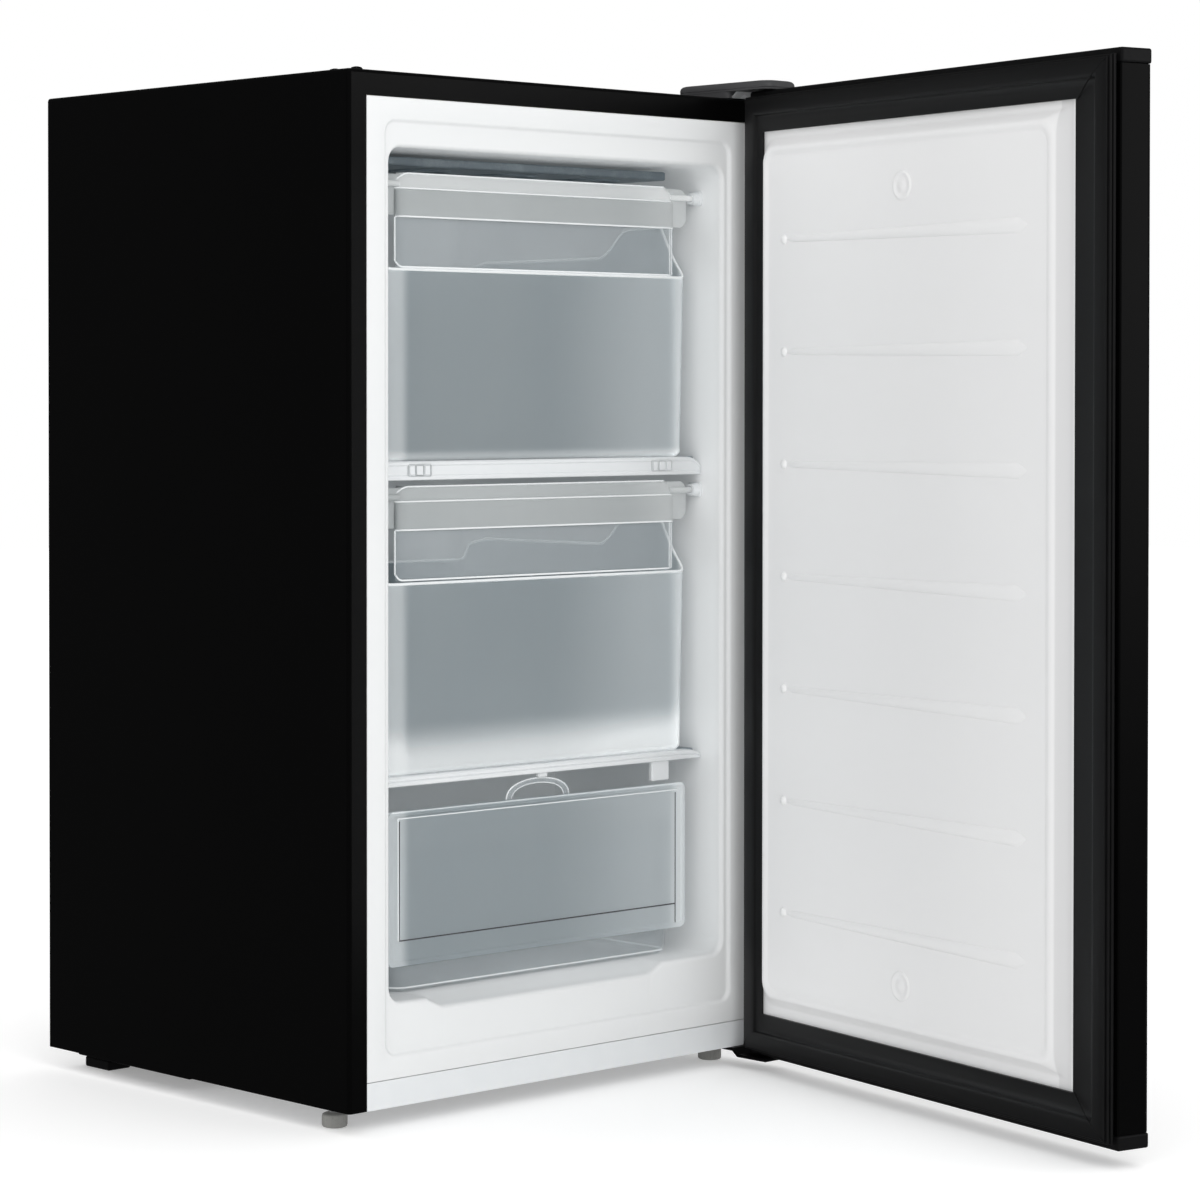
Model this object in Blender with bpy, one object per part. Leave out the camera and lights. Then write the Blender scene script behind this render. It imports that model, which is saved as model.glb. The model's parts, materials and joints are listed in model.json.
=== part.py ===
"""Small upright freezer with a side-hinged door, drawn open, in metres with Z up and its front facing -Y."""

import math

import bmesh
import bpy
from mathutils import Matrix, Vector

# Cabinet, measured from its front plane (y = 0), its centre line (x = 0) and the floor (z = 0)
CABINET_W = 0.472
CABINET_D = 0.402
CABINET_BOTTOM = 0.018
CABINET_TOP = 0.841
SKIN = 0.0012
GAP = 0.0003
CORNER_R = 0.003
FLANGE_SIDE = 0.0185
FLANGE_TOP = 0.020
KICK_H = 0.022

# Inner liner
LINER_T = 0.002
STEP_SIDE = 0.0395
STEP_DEPTH = 0.003
STEP_TOP = CABINET_TOP - 0.039
STEP_BOTTOM = CABINET_BOTTOM + 0.041
MOUTH_HALF = CABINET_W / 2 - 0.046
MOUTH_TOP = STEP_TOP - 0.0205
MOUTH_BOTTOM = STEP_BOTTOM + 0.0415
MOUTH_R = 0.012
LINER_BACK = CABINET_D - 0.057
BAY_TOP = 0.256
BAY_FRONT = CABINET_D - 0.190
RAMP_LEFT = -0.150
RAMP_RIGHT = 0.118

# Compressor bay
BAY_PANEL_Y = BAY_FRONT + 0.020
BAY_PANEL_Z = BAY_TOP - 0.016
DIAL_X = CABINET_W / 2 - 0.054
DIAL_Z = 0.182

# Door, drawn shut and then turned about its hinge
DOOR_W = CABINET_W + 0.006
DOOR_T = 0.030
DOOR_GAP = 0.011
DOOR_BOTTOM = CABINET_BOTTOM - 0.004
DOOR_TOP = CABINET_TOP + 0.005
CAP_H = 0.012
DOOR_OPEN = math.radians(78.8)
PIVOT_X = CABINET_W / 2 - 0.0115
PIVOT_Y = -DOOR_GAP - 0.0205
PIN_R = 0.003
PIN_CLEAR = 0.00008
BUSH_WALL = 0.002
BUSH_R = PIN_R + BUSH_WALL

# Door liner
PLATEAU_RISE = 0.0085
PLATEAU_HINGE = DOOR_W / 2 - 0.031
PLATEAU_FREE = 0.0665 - DOOR_W / 2
PLATEAU_TOP = DOOR_TOP - 0.049
PLATEAU_BOTTOM = DOOR_BOTTOM + 0.054
RIB_COUNT = 7
RIB_TOP = PLATEAU_TOP - 0.0805
RIB_BOTTOM = PLATEAU_BOTTOM + 0.0761
RIB_PITCH = (RIB_TOP - RIB_BOTTOM) / (RIB_COUNT - 1)
RIB_HINGE = PLATEAU_HINGE - 0.0355
RIB_FREE = PLATEAU_FREE + 0.036
RIB_R = 0.006

# Flaps, shelves and baskets
FLAP_HALF = MOUTH_HALF - 0.031
FLAP_FRONT = 0.028
FLAP_BAND = 0.036
FLAP_H = 0.0765
FLAP_PIVOT_DROP = 0.009
FLAP_PIVOT_Y = 0.0335
STUB_R = 0.0025
STUB_CLEAR = 0.00005
STUB_REACH = MOUTH_HALF - 0.0035
BRACKET_LONG = 0.009
SHELF_T = 0.006
SHELF_FRONT = 0.036
SHELF_BACK = LINER_BACK - 0.015
BASKET_FRONT = 0.030
BASKET_BACK = LINER_BACK - 0.020
BASKET_HALF_TOP = MOUTH_HALF - 0.0135
BASKET_HALF_BOTTOM = MOUTH_HALF - 0.024
BASKET_T = 0.002
BASKET_DEEP = 0.1542
SIDE_RISE = 0.0445
UPPER_FLAP_TOP = MOUTH_TOP - 0.0175
UPPER_BASKET_RIM = UPPER_FLAP_TOP - 0.0785
UPPER_BASKET_BOTTOM = UPPER_BASKET_RIM - BASKET_DEEP
UPPER_SHELF_TOP = UPPER_BASKET_BOTTOM - GAP
UPPER_TRIM = (UPPER_SHELF_TOP - 0.0155, UPPER_SHELF_TOP)
LOWER_SHELF_TOP = BAY_TOP + 0.0205
LOWER_TRIM = (LOWER_SHELF_TOP - 0.012, LOWER_SHELF_TOP)
MIDDLE_FLAP_TOP = UPPER_SHELF_TOP - 0.020
MIDDLE_BASKET_RIM = MIDDLE_FLAP_TOP - 0.0795
MIDDLE_BASKET_BOTTOM = LOWER_SHELF_TOP + GAP
TOP_PLATE = (MOUTH_TOP - 0.010, MOUTH_TOP - 0.0025)
LOWER_PLATE_HALF = MOUTH_HALF - 0.0195
LOWER_PLATE = (MOUTH_BOTTOM + 0.0225, LOWER_TRIM[0] - 0.016)
TRAY_BACK = BAY_FRONT - 0.009
TRAY_TOP = LOWER_TRIM[0] - 0.0495
TRAY_HALF_TOP = MOUTH_HALF - 0.024
TRAY_HALF_BOTTOM = MOUTH_HALF - 0.032

# Feet
FOOT_R = 0.0105
FOOT_H = 0.011
FOOT_X = CABINET_W / 2 - 0.0205
FOOT_Y = 0.042
STUD_R = 0.004
STUD_CLEAR = 0.00008
NUT_WALL = 0.004
REAR_FOOT_X = CABINET_W / 2 - 0.038

# How many sides a round part gets
ROUND = 28

MATERIALS = {}


def clear_scene():
    for obj in list(bpy.data.objects):
        bpy.data.objects.remove(obj, do_unlink=True)


def make_collection(name, hidden=False):
    collection = bpy.data.collections.new(name)
    bpy.context.scene.collection.children.link(collection)
    collection.hide_render = hidden
    return collection


def material(name, colour, roughness, metallic=0.0, alpha=1.0):
    made = bpy.data.materials.new(name)
    made.use_nodes = True
    shader = made.node_tree.nodes["Principled BSDF"]
    shader.inputs["Base Color"].default_value = (*colour, 1.0)
    shader.inputs["Roughness"].default_value = roughness
    shader.inputs["Metallic"].default_value = metallic
    shader.inputs["Alpha"].default_value = alpha
    MATERIALS[name] = made


def make_materials():
    material("black_steel", (0.012, 0.012, 0.013), 0.32)
    material("black_plastic", (0.015, 0.015, 0.016), 0.5)
    material("white_plastic", (0.85, 0.87, 0.88), 0.35)
    material("door_liner_plastic", (0.72, 0.72, 0.73), 0.4)
    material("foam", (0.82, 0.72, 0.42), 0.9)
    material("rubber", (0.014, 0.014, 0.015), 0.65)
    material("galvanised", (0.55, 0.56, 0.57), 0.45, 1.0)
    material("aluminium", (0.42, 0.48, 0.51), 0.4, 1.0)
    material("frosted_plastic", (0.55, 0.6, 0.63), 0.55, 0.0, 0.75)
    material("clear_plastic", (0.8, 0.85, 0.87), 0.1, 0.0, 0.35)
    material("grey_plastic", (0.09, 0.09, 0.095), 0.4)
    material("foot_plastic", (0.35, 0.35, 0.34), 0.55)
    material("compressor_paint", (0.02, 0.02, 0.021), 0.4)
    material("copper", (0.72, 0.38, 0.24), 0.3, 1.0)


def finish_mesh(name, bm, surface, cutter=False):
    """A mesh object from bm, in the part's collection or among the cutters."""
    bmesh.ops.remove_doubles(bm, verts=bm.verts, dist=1e-7)
    bmesh.ops.recalc_face_normals(bm, faces=bm.faces)
    mesh = bpy.data.meshes.new(name)
    bm.to_mesh(mesh)
    bm.free()
    obj = bpy.data.objects.new(name, mesh)
    if cutter:
        CUTTERS.objects.link(obj)
        obj.hide_render = True
        obj.display_type = "WIRE"
    else:
        PARTS.objects.link(obj)
        mesh.materials.append(MATERIALS[surface])
    return obj


def box_mesh(low, high, bevel=0.0, segments=2, along=None, sharp=None):
    """A box between two corners. along rounds only edges along that axis; sharp(middle) leaves an edge."""
    bm = bmesh.new()
    size = [b - a for a, b in zip(low, high)]
    middle = [(a + b) / 2 for a, b in zip(low, high)]
    place = Matrix.Translation(middle) @ Matrix.Diagonal((*size, 1.0))
    bmesh.ops.create_cube(bm, size=1.0, matrix=place)
    if bevel:
        edges = [e for e in bm.edges if along is None or runs_along(e, along)]
        if sharp:
            edges = [e for e in edges if not sharp((e.verts[0].co + e.verts[1].co) / 2)]
        bmesh.ops.bevel(
            bm, geom=edges, offset=bevel, segments=segments, affect="EDGES", profile=0.5
        )
    return bm


def runs_along(edge, axis):
    step = edge.verts[1].co - edge.verts[0].co
    return abs(step[axis]) > 0.99 * step.length


def block(name, low, high, surface, bevel=0.0, segments=2, along=None):
    return finish_mesh(name, box_mesh(low, high, bevel, segments, along), surface)


def cutter(name, low, high, bevel=0.0, segments=2, along=None):
    return finish_mesh(name, box_mesh(low, high, bevel, segments, along), None, True)


def boolean(obj, tool, operation="DIFFERENCE"):
    change = obj.modifiers.new(tool.name, "BOOLEAN")
    change.operation = operation
    change.solver = "EXACT"
    change.object = tool


def rounded_rect(x0, x1, z0, z1, r, steps=4):
    """Points round a rectangle with rounded corners."""
    centres = ((x1 - r, z0 + r, -90), (x1 - r, z1 - r, 0), (x0 + r, z1 - r, 90), (x0 + r, z0 + r, 180))
    points = []
    for cx, cz, start in centres:
        for step in range(steps + 1):
            angle = math.radians(start + 90 * step / steps)
            points.append((cx + r * math.cos(angle), cz + r * math.sin(angle)))
    return points


def place_point(plane, a, b, along):
    """A point of an outline in the plane named, at a distance along the third axis."""
    return {"XZ": (a, along, b), "XY": (a, b, along), "YZ": (along, a, b)}[plane]


def prism_mesh(plane, outline, low, high, bevel=0.0, segments=2):
    """An outline drawn in XZ, XY or YZ and pulled along the third axis."""
    bm = bmesh.new()
    ends = []
    for along in (low, high):
        ends.append([bm.verts.new(place_point(plane, a, b, along)) for a, b in outline])
    bm.faces.new(ends[0])
    bm.faces.new(list(reversed(ends[1])))
    count = len(outline)
    for i in range(count):
        j = (i + 1) % count
        bm.faces.new((ends[0][i], ends[0][j], ends[1][j], ends[1][i]))
    bmesh.ops.recalc_face_normals(bm, faces=bm.faces)
    if bevel:
        bmesh.ops.bevel(
            bm, geom=bm.edges[:], offset=bevel, segments=segments, affect="EDGES", profile=0.5
        )
    return bm


def prism(name, plane, outline, low, high, surface, bevel=0.0, segments=2):
    return finish_mesh(name, prism_mesh(plane, outline, low, high, bevel, segments), surface)


def prism_cutter(name, plane, outline, low, high, bevel=0.0, segments=2):
    return finish_mesh(name, prism_mesh(plane, outline, low, high, bevel, segments), None, True)


def loft_mesh(rings, closed=False):
    """Skins a list of rings with equal counts: capped at both ends, or joined last to first."""
    bm = bmesh.new()
    loops = [[bm.verts.new(point) for point in ring] for ring in rings]
    pairs = list(zip(loops, loops[1:]))
    if closed:
        pairs.append((loops[-1], loops[0]))
    else:
        bm.faces.new(loops[0])
        bm.faces.new(list(reversed(loops[-1])))
    count = len(loops[0])
    for a, b in pairs:
        for i in range(count):
            j = (i + 1) % count
            bm.faces.new((a[i], a[j], b[j], b[i]))
    return bm


def loft(name, rings, surface, closed=False):
    return finish_mesh(name, loft_mesh(rings, closed), surface)


def circle(centre, radius, count=ROUND):
    return [
        (
            centre[0] + radius * math.cos(2 * math.pi * i / count),
            centre[1] + radius * math.sin(2 * math.pi * i / count),
        )
        for i in range(count)
    ]


def turned_mesh(centre, profile, axis=2, count=ROUND):
    """A solid of revolution about an axis through centre: profile lists (radius, distance along it)."""
    rings = []
    for radius, along in profile:
        ring = []
        for a, b in circle((0.0, 0.0), radius, count):
            point = {0: (along, a, b), 1: (b, along, a), 2: (a, b, along)}[axis]
            ring.append(tuple(c + p for c, p in zip(centre, point)))
        rings.append(ring)
    return loft_mesh(rings)


def turned(name, centre, profile, surface, axis=2, count=ROUND):
    return finish_mesh(name, turned_mesh(centre, profile, axis, count), surface)


def drill(obj, name, centre, radius, low, high, axis=2, count=ROUND):
    tool = finish_mesh(
        name, turned_mesh(centre, ((radius, low), (radius, high)), axis, count), None, True
    )
    boolean(obj, tool)


def pipe(name, points, radius, surface, sides=12):
    """A round tube that follows rounded straight runs between the points."""
    path = round_path([Vector(p) for p in points], radius * 3.5)
    rings = []
    normal = None
    for i, point in enumerate(path):
        ahead = (path[min(i + 1, len(path) - 1)] - path[max(i - 1, 0)]).normalized()
        if normal is None:
            normal = ahead.orthogonal().normalized()
        normal = (normal - ahead * normal.dot(ahead)).normalized()
        other = ahead.cross(normal)
        ring = []
        for k in range(sides):
            angle = 2 * math.pi * k / sides
            ring.append(point + radius * (math.cos(angle) * normal + math.sin(angle) * other))
        rings.append(ring)
    return loft(name, rings, surface)


def round_path(points, reach):
    """The points with each inner corner replaced by a short curve."""
    path = [points[0]]
    for before, corner, after in zip(points, points[1:], points[2:]):
        start = corner + (before - corner).normalized() * reach
        end = corner + (after - corner).normalized() * reach
        for step in range(6):
            t = step / 5
            path.append(start * (1 - t) ** 2 + corner * (2 * t * (1 - t)) + end * t**2)
    path.append(points[-1])
    return path


def make_outer_shell():
    """Folded steel skin: two sides and a top, with a front flange turned in round the liner."""
    half = CABINET_W / 2
    outside = box_mesh(
        (-half, 0.0, CABINET_BOTTOM),
        (half, CABINET_D, CABINET_TOP),
        CORNER_R,
        3,
        sharp=lambda p: p.z < CABINET_BOTTOM + 0.001 or p.y > CABINET_D - 0.001,
    )
    shell = finish_mesh("outer_shell", outside, "black_steel")
    hollow = cutter(
        "shell_hollow",
        (-half + SKIN, SKIN, CABINET_BOTTOM - 0.02),
        (half - SKIN, CABINET_D + 0.02, CABINET_TOP - SKIN),
    )
    boolean(shell, hollow)
    mouth = cutter(
        "shell_mouth",
        (-half + FLANGE_SIDE, -0.01, CABINET_BOTTOM - 0.02),
        (half - FLANGE_SIDE, SKIN + 0.004, CABINET_TOP - FLANGE_TOP),
    )
    boolean(shell, mouth)


def liner_outline(grow, front):
    """The liner's side view, from its mouth round the floor, the bay step, the back and the ceiling."""
    return (
        (front, MOUTH_BOTTOM - grow),
        (BAY_FRONT + grow, MOUTH_BOTTOM - grow),
        (BAY_FRONT + grow, BAY_TOP - grow),
        (LINER_BACK + grow, BAY_TOP - grow),
        (LINER_BACK + grow, MOUTH_TOP + grow),
        (front, MOUTH_TOP + grow),
    )


def make_inner_liner():
    """White vacuum-formed tub with a stepped front flange and a step over the compressor bay."""
    edge = CABINET_W / 2 - FLANGE_SIDE - GAP
    top = CABINET_TOP - FLANGE_TOP - GAP
    bottom = CABINET_BOTTOM + KICK_H + GAP
    liner = prism(
        "inner_liner",
        "YZ",
        liner_outline(LINER_T, 0.0045),
        -MOUTH_HALF - LINER_T,
        MOUTH_HALF + LINER_T,
        "white_plastic",
    )
    flange = finish_mesh(
        "liner_flange", box_mesh((-edge, 0.0, bottom), (edge, 0.0065, top), 0.0008, 2), None, True
    )
    boolean(liner, flange, "UNION")
    recess = cutter(
        "liner_step",
        (-CABINET_W / 2 + STEP_SIDE, -0.02, STEP_BOTTOM),
        (CABINET_W / 2 - STEP_SIDE, STEP_DEPTH, STEP_TOP),
        0.0024,
        3,
    )
    boolean(liner, recess)
    cavity = prism_cutter(
        "liner_cavity", "YZ", liner_outline(0.0, -0.06), -MOUTH_HALF, MOUTH_HALF, MOUTH_R, 4
    )
    boolean(liner, cavity)
    ramp = prism_cutter(
        "liner_ramp",
        "YZ",
        (
            (-0.02, MOUTH_BOTTOM - 0.0125),
            (0.004, MOUTH_BOTTOM - 0.0125),
            (0.040, MOUTH_BOTTOM + 0.0006),
            (0.040, MOUTH_BOTTOM + 0.03),
            (-0.02, MOUTH_BOTTOM + 0.03),
        ),
        RAMP_LEFT,
        RAMP_RIGHT,
    )
    lip = block(
        "floor_ramp",
        (RAMP_LEFT + 0.0005, 0.0105, MOUTH_BOTTOM - 0.0140),
        (RAMP_RIGHT - 0.0005, 0.0395, MOUTH_BOTTOM - 0.0005),
        "white_plastic",
    )
    slope = prism_cutter(
        "ramp_slope",
        "YZ",
        (
            (0.0, MOUTH_BOTTOM - 0.0155),
            (0.0, MOUTH_BOTTOM + 0.03),
            (0.05, MOUTH_BOTTOM + 0.03),
            (0.05, MOUTH_BOTTOM + 0.001),
            (0.0395, MOUTH_BOTTOM - 0.002),
            (0.0105, MOUTH_BOTTOM - 0.010),
        ),
        RAMP_LEFT - 0.01,
        RAMP_RIGHT + 0.01,
    )
    boolean(liner, ramp)
    boolean(lip, slope)


def make_foam():
    """Foamed-in insulation between the shell and the liner."""
    half = CABINET_W / 2 - SKIN - GAP
    outline = (
        (SKIN + 0.004, CABINET_BOTTOM + KICK_H + 0.002),
        (0.024, CABINET_BOTTOM + KICK_H + 0.002),
        (0.024, CABINET_BOTTOM + 0.003),
        (BAY_PANEL_Y - GAP, CABINET_BOTTOM + 0.003),
        (BAY_PANEL_Y - GAP, BAY_PANEL_Z + GAP + 0.0012),
        (CABINET_D - 0.004, BAY_PANEL_Z + GAP + 0.0012),
        (CABINET_D - 0.004, CABINET_TOP - SKIN - GAP),
        (SKIN + 0.004, CABINET_TOP - SKIN - GAP),
    )
    foam = prism("foam_insulation", "YZ", outline, -half, half, "foam")
    room = prism_cutter(
        "foam_room",
        "YZ",
        liner_outline(LINER_T + GAP, -0.05),
        -MOUTH_HALF - LINER_T - GAP,
        MOUTH_HALF + LINER_T + GAP,
    )
    boolean(foam, room)
    flange_room = cutter(
        "foam_flange_room", (-half - 0.01, -0.01, 0.03), (half + 0.01, 0.0075, CABINET_TOP + 0.01)
    )
    boolean(foam, flange_room)
    for side, x in (("left", -FOOT_X), ("right", FOOT_X)):
        pocket = cutter(
            f"foam_{side}_foot_pocket",
            (x - STUD_R - NUT_WALL - 0.006, 0.020, 0.0),
            (x + STUD_R + NUT_WALL + 0.006, FOOT_Y + STUD_R + NUT_WALL + 0.006, CABINET_BOTTOM + 0.018),
        )
        boolean(foam, pocket)
    ramp_room = cutter(
        "foam_ramp_room",
        (RAMP_LEFT - 0.001, -0.01, MOUTH_BOTTOM - 0.0165),
        (RAMP_RIGHT + 0.001, 0.042, MOUTH_BOTTOM + 0.02),
    )
    boolean(foam, ramp_room)


def make_cabinet_sheets():
    half = CABINET_W / 2 - SKIN - GAP
    block(
        "back_panel",
        (-half, CABINET_D - 0.0035, BAY_PANEL_Z + 0.004),
        (half, CABINET_D - 0.0020, CABINET_TOP - SKIN - GAP),
        "galvanised",
    )
    bay = (
        (BAY_PANEL_Y, CABINET_BOTTOM + 0.003),
        (BAY_PANEL_Y + 0.0012, CABINET_BOTTOM + 0.003),
        (BAY_PANEL_Y + 0.0012, BAY_PANEL_Z),
        (CABINET_D - 0.002, BAY_PANEL_Z),
        (CABINET_D - 0.002, BAY_PANEL_Z + 0.0012),
        (BAY_PANEL_Y, BAY_PANEL_Z + 0.0012),
    )
    prism("compressor_bay_panel", "YZ", bay, -half, half, "galvanised")
    base = block(
        "base_plate",
        (-half, 0.0235, CABINET_BOTTOM + 0.0005),
        (half, BAY_PANEL_Y + 0.014, CABINET_BOTTOM + 0.0025),
        "galvanised",
    )
    for side, x in (("left", -FOOT_X), ("right", FOOT_X)):
        drill(base, f"{side}_stud_hole", (x, FOOT_Y, 0.0), STUD_R + GAP, 0.0, 0.03)
    kick = (
        (0.0, CABINET_BOTTOM),
        (0.020, CABINET_BOTTOM),
        (0.020, CABINET_BOTTOM + 0.003),
        (0.003, CABINET_BOTTOM + 0.003),
        (0.003, CABINET_BOTTOM + KICK_H),
        (0.0, CABINET_BOTTOM + KICK_H),
    )
    reach = CABINET_W / 2 - FLANGE_SIDE - GAP
    prism("kick_strip", "YZ", kick, -reach, reach, "white_plastic")


def make_compressor():
    """Hermetic compressor on a platform across the open rear bay, with its pipes and drier."""
    low = CABINET_BOTTOM - 0.009
    platform = block(
        "compressor_platform",
        (-CABINET_W / 2 + 0.024, BAY_PANEL_Y + 0.004, low),
        (CABINET_W / 2 - 0.024, CABINET_D - 0.008, low + 0.0085),
        "black_steel",
        0.0015,
    )
    cx, cy = -0.055, CABINET_D - 0.086
    window = cutter(
        "platform_slot", (cx - 0.005, cy - 0.036, -0.01), (cx + 0.075, cy + 0.034, 0.05), 0.008, 3, 2
    )
    boolean(platform, window)
    top = low + 0.0085 + GAP
    for name, dx, dy in (
        ("front_left", -0.072, -0.036),
        ("front_right", 0.072, -0.036),
        ("rear_left", -0.072, 0.036),
        ("rear_right", 0.072, 0.036),
    ):
        turned(
            f"grommet_{name}",
            (cx + dx, cy + dy, top),
            ((0.007, 0.0), (0.009, 0.002), (0.009, 0.010), (0.006, 0.012)),
            "rubber",
            count=20,
        )
    rise = top + 0.012 + GAP
    pot = [(0.050, 0.003), (0.064, 0.010), (0.071, 0.024), (0.073, 0.050), (0.073, 0.066)]
    pot += [(0.0755, 0.068), (0.0755, 0.074), (0.073, 0.076), (0.071, 0.096), (0.062, 0.114)]
    pot += [(0.042, 0.126), (0.016, 0.131)]
    rings = []
    for radius, z in pot:
        rings.append([(cx + a, cy + b * 0.86, rise + z) for a, b in circle((0, 0), radius, 40)])
    body = loft("compressor_body", rings, "compressor_paint")
    plate = finish_mesh(
        "compressor_feet",
        box_mesh((cx - 0.082, cy - 0.046, rise), (cx + 0.082, cy + 0.046, rise + 0.0045), 0.010, 3, 2),
        None,
        True,
    )
    boolean(body, plate, "UNION")
    block(
        "compressor_terminal_cover",
        (cx + 0.0775, cy - 0.026, rise + 0.030),
        (cx + 0.112, cy + 0.026, rise + 0.088),
        "black_plastic",
        0.005,
        3,
    )
    tray_z = rise + 0.1325
    tray = block(
        "drip_tray",
        (cx - 0.055, cy - 0.045, tray_z),
        (cx + 0.055, cy + 0.045, tray_z + 0.030),
        "black_plastic",
        0.004,
        2,
    )
    inside = cutter(
        "tray_room",
        (cx - 0.053, cy - 0.043, tray_z + 0.002),
        (cx + 0.053, cy + 0.043, tray_z + 0.05),
        0.003,
        2,
    )
    boolean(tray, inside)
    turned(
        "filter_drier",
        (0.125, CABINET_D - 0.057, 0.060),
        ((0.0015, 0.0), (0.003, 0.004), (0.0095, 0.014), (0.0095, 0.085), (0.003, 0.096), (0.0015, 0.1)),
        "copper",
        count=20,
    )
    pipe(
        "discharge_pipe",
        (
            (cx + 0.020, cy + 0.0668, rise + 0.050),
            (cx + 0.020, cy + 0.0765, rise + 0.050),
            (0.090, cy + 0.0765, rise + 0.050),
            (0.090, cy + 0.0765, 0.205),
            (0.090, BAY_PANEL_Y + 0.004, 0.205),
        ),
        0.0025,
        "copper",
    )
    pipe(
        "suction_pipe",
        (
            (cx - 0.0765, cy, rise + 0.056),
            (-0.155, cy, rise + 0.056),
            (-0.155, cy, 0.215),
            (-0.155, BAY_PANEL_Y + 0.004, 0.215),
        ),
        0.0035,
        "copper",
    )


def make_thermostat():
    """Control box in the bay with a turning dial that faces the rear."""
    block(
        "thermostat_housing",
        (DIAL_X - 0.032, CABINET_D - 0.050, DIAL_Z - 0.032),
        (DIAL_X + 0.032, CABINET_D - 0.0115, DIAL_Z + 0.032),
        "grey_plastic",
        0.004,
        3,
    )
    knob = turned(
        "thermostat_dial",
        (DIAL_X, CABINET_D - 0.011, DIAL_Z),
        ((0.0175, 0.0), (0.0185, 0.001), (0.0185, 0.003), (0.0150, 0.0045), (0.0140, 0.009), (0.012, 0.010)),
        "grey_plastic",
        1,
        32,
    )
    slot = cutter(
        "dial_mark",
        (DIAL_X - 0.0008, CABINET_D - 0.0035, DIAL_Z + 0.006),
        (DIAL_X + 0.0008, CABINET_D + 0.008, DIAL_Z + 0.018),
    )
    boolean(knob, slot)
    set_origin(knob, (DIAL_X, CABINET_D - 0.011, DIAL_Z))


def set_origin(obj, point):
    """Moves the object's origin to the point and leaves its shape where it is."""
    offset = Vector(point)
    obj.data.transform(Matrix.Translation(-offset))
    obj.location = offset


def make_feet():
    """Two levelling feet at the front on threaded studs, and two fixed ones at the rear."""
    for side, x in (("left", -FOOT_X), ("right", FOOT_X)):
        y = FOOT_Y
        profile = [(FOOT_R - 0.001, 0.0), (FOOT_R, 0.001), (FOOT_R, FOOT_H - 0.001)]
        profile += [(FOOT_R - 0.001, FOOT_H), (STUD_R, FOOT_H), (STUD_R, CABINET_BOTTOM + 0.016)]
        foot = turned(f"foot_front_{side}", (x, y, 0.0), profile, "foot_plastic", count=36)
        set_origin(foot, (x, y, 0.0))
        sleeve = turned(
            f"foot_nut_{side}",
            (x, y, CABINET_BOTTOM + 0.0028),
            ((STUD_R + NUT_WALL, 0.0), (STUD_R + NUT_WALL, 0.009)),
            "galvanised",
            count=6,
        )
        drill(sleeve, f"{side}_nut_bore", (x, y, 0.0), STUD_R + STUD_CLEAR, 0.0, 0.05)
    for side, x in (("left", -REAR_FOOT_X), ("right", REAR_FOOT_X)):
        block(
            f"foot_rear_{side}",
            (x - 0.012, CABINET_D - 0.050, 0.0),
            (x + 0.012, CABINET_D - 0.016, CABINET_BOTTOM - 0.009 - GAP),
            "black_plastic",
            0.0015,
        )


def make_shelves():
    """Cold plates: one under the ceiling and two between the baskets, with white front trims."""
    half = MOUTH_HALF - 0.0015
    inside_corners = MOUTH_HALF - MOUTH_R
    block(
        "evaporator_top",
        (-inside_corners, 0.060, TOP_PLATE[0]),
        (inside_corners, SHELF_BACK, TOP_PLATE[1]),
        "aluminium",
        0.0015,
        2,
    )
    for name, top in (("upper", UPPER_SHELF_TOP), ("lower", LOWER_SHELF_TOP)):
        block(
            f"evaporator_{name}",
            (-half, SHELF_FRONT, top - SHELF_T),
            (half, SHELF_BACK, top),
            "aluminium",
            0.0015,
            2,
        )
    for name, span in (("upper", UPPER_TRIM), ("lower", LOWER_TRIM)):
        block(
            f"shelf_trim_{name}",
            (-half, 0.0265, span[0]),
            (half, SHELF_FRONT - GAP, span[1]),
            "white_plastic",
            0.0018,
            2,
        )


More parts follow.
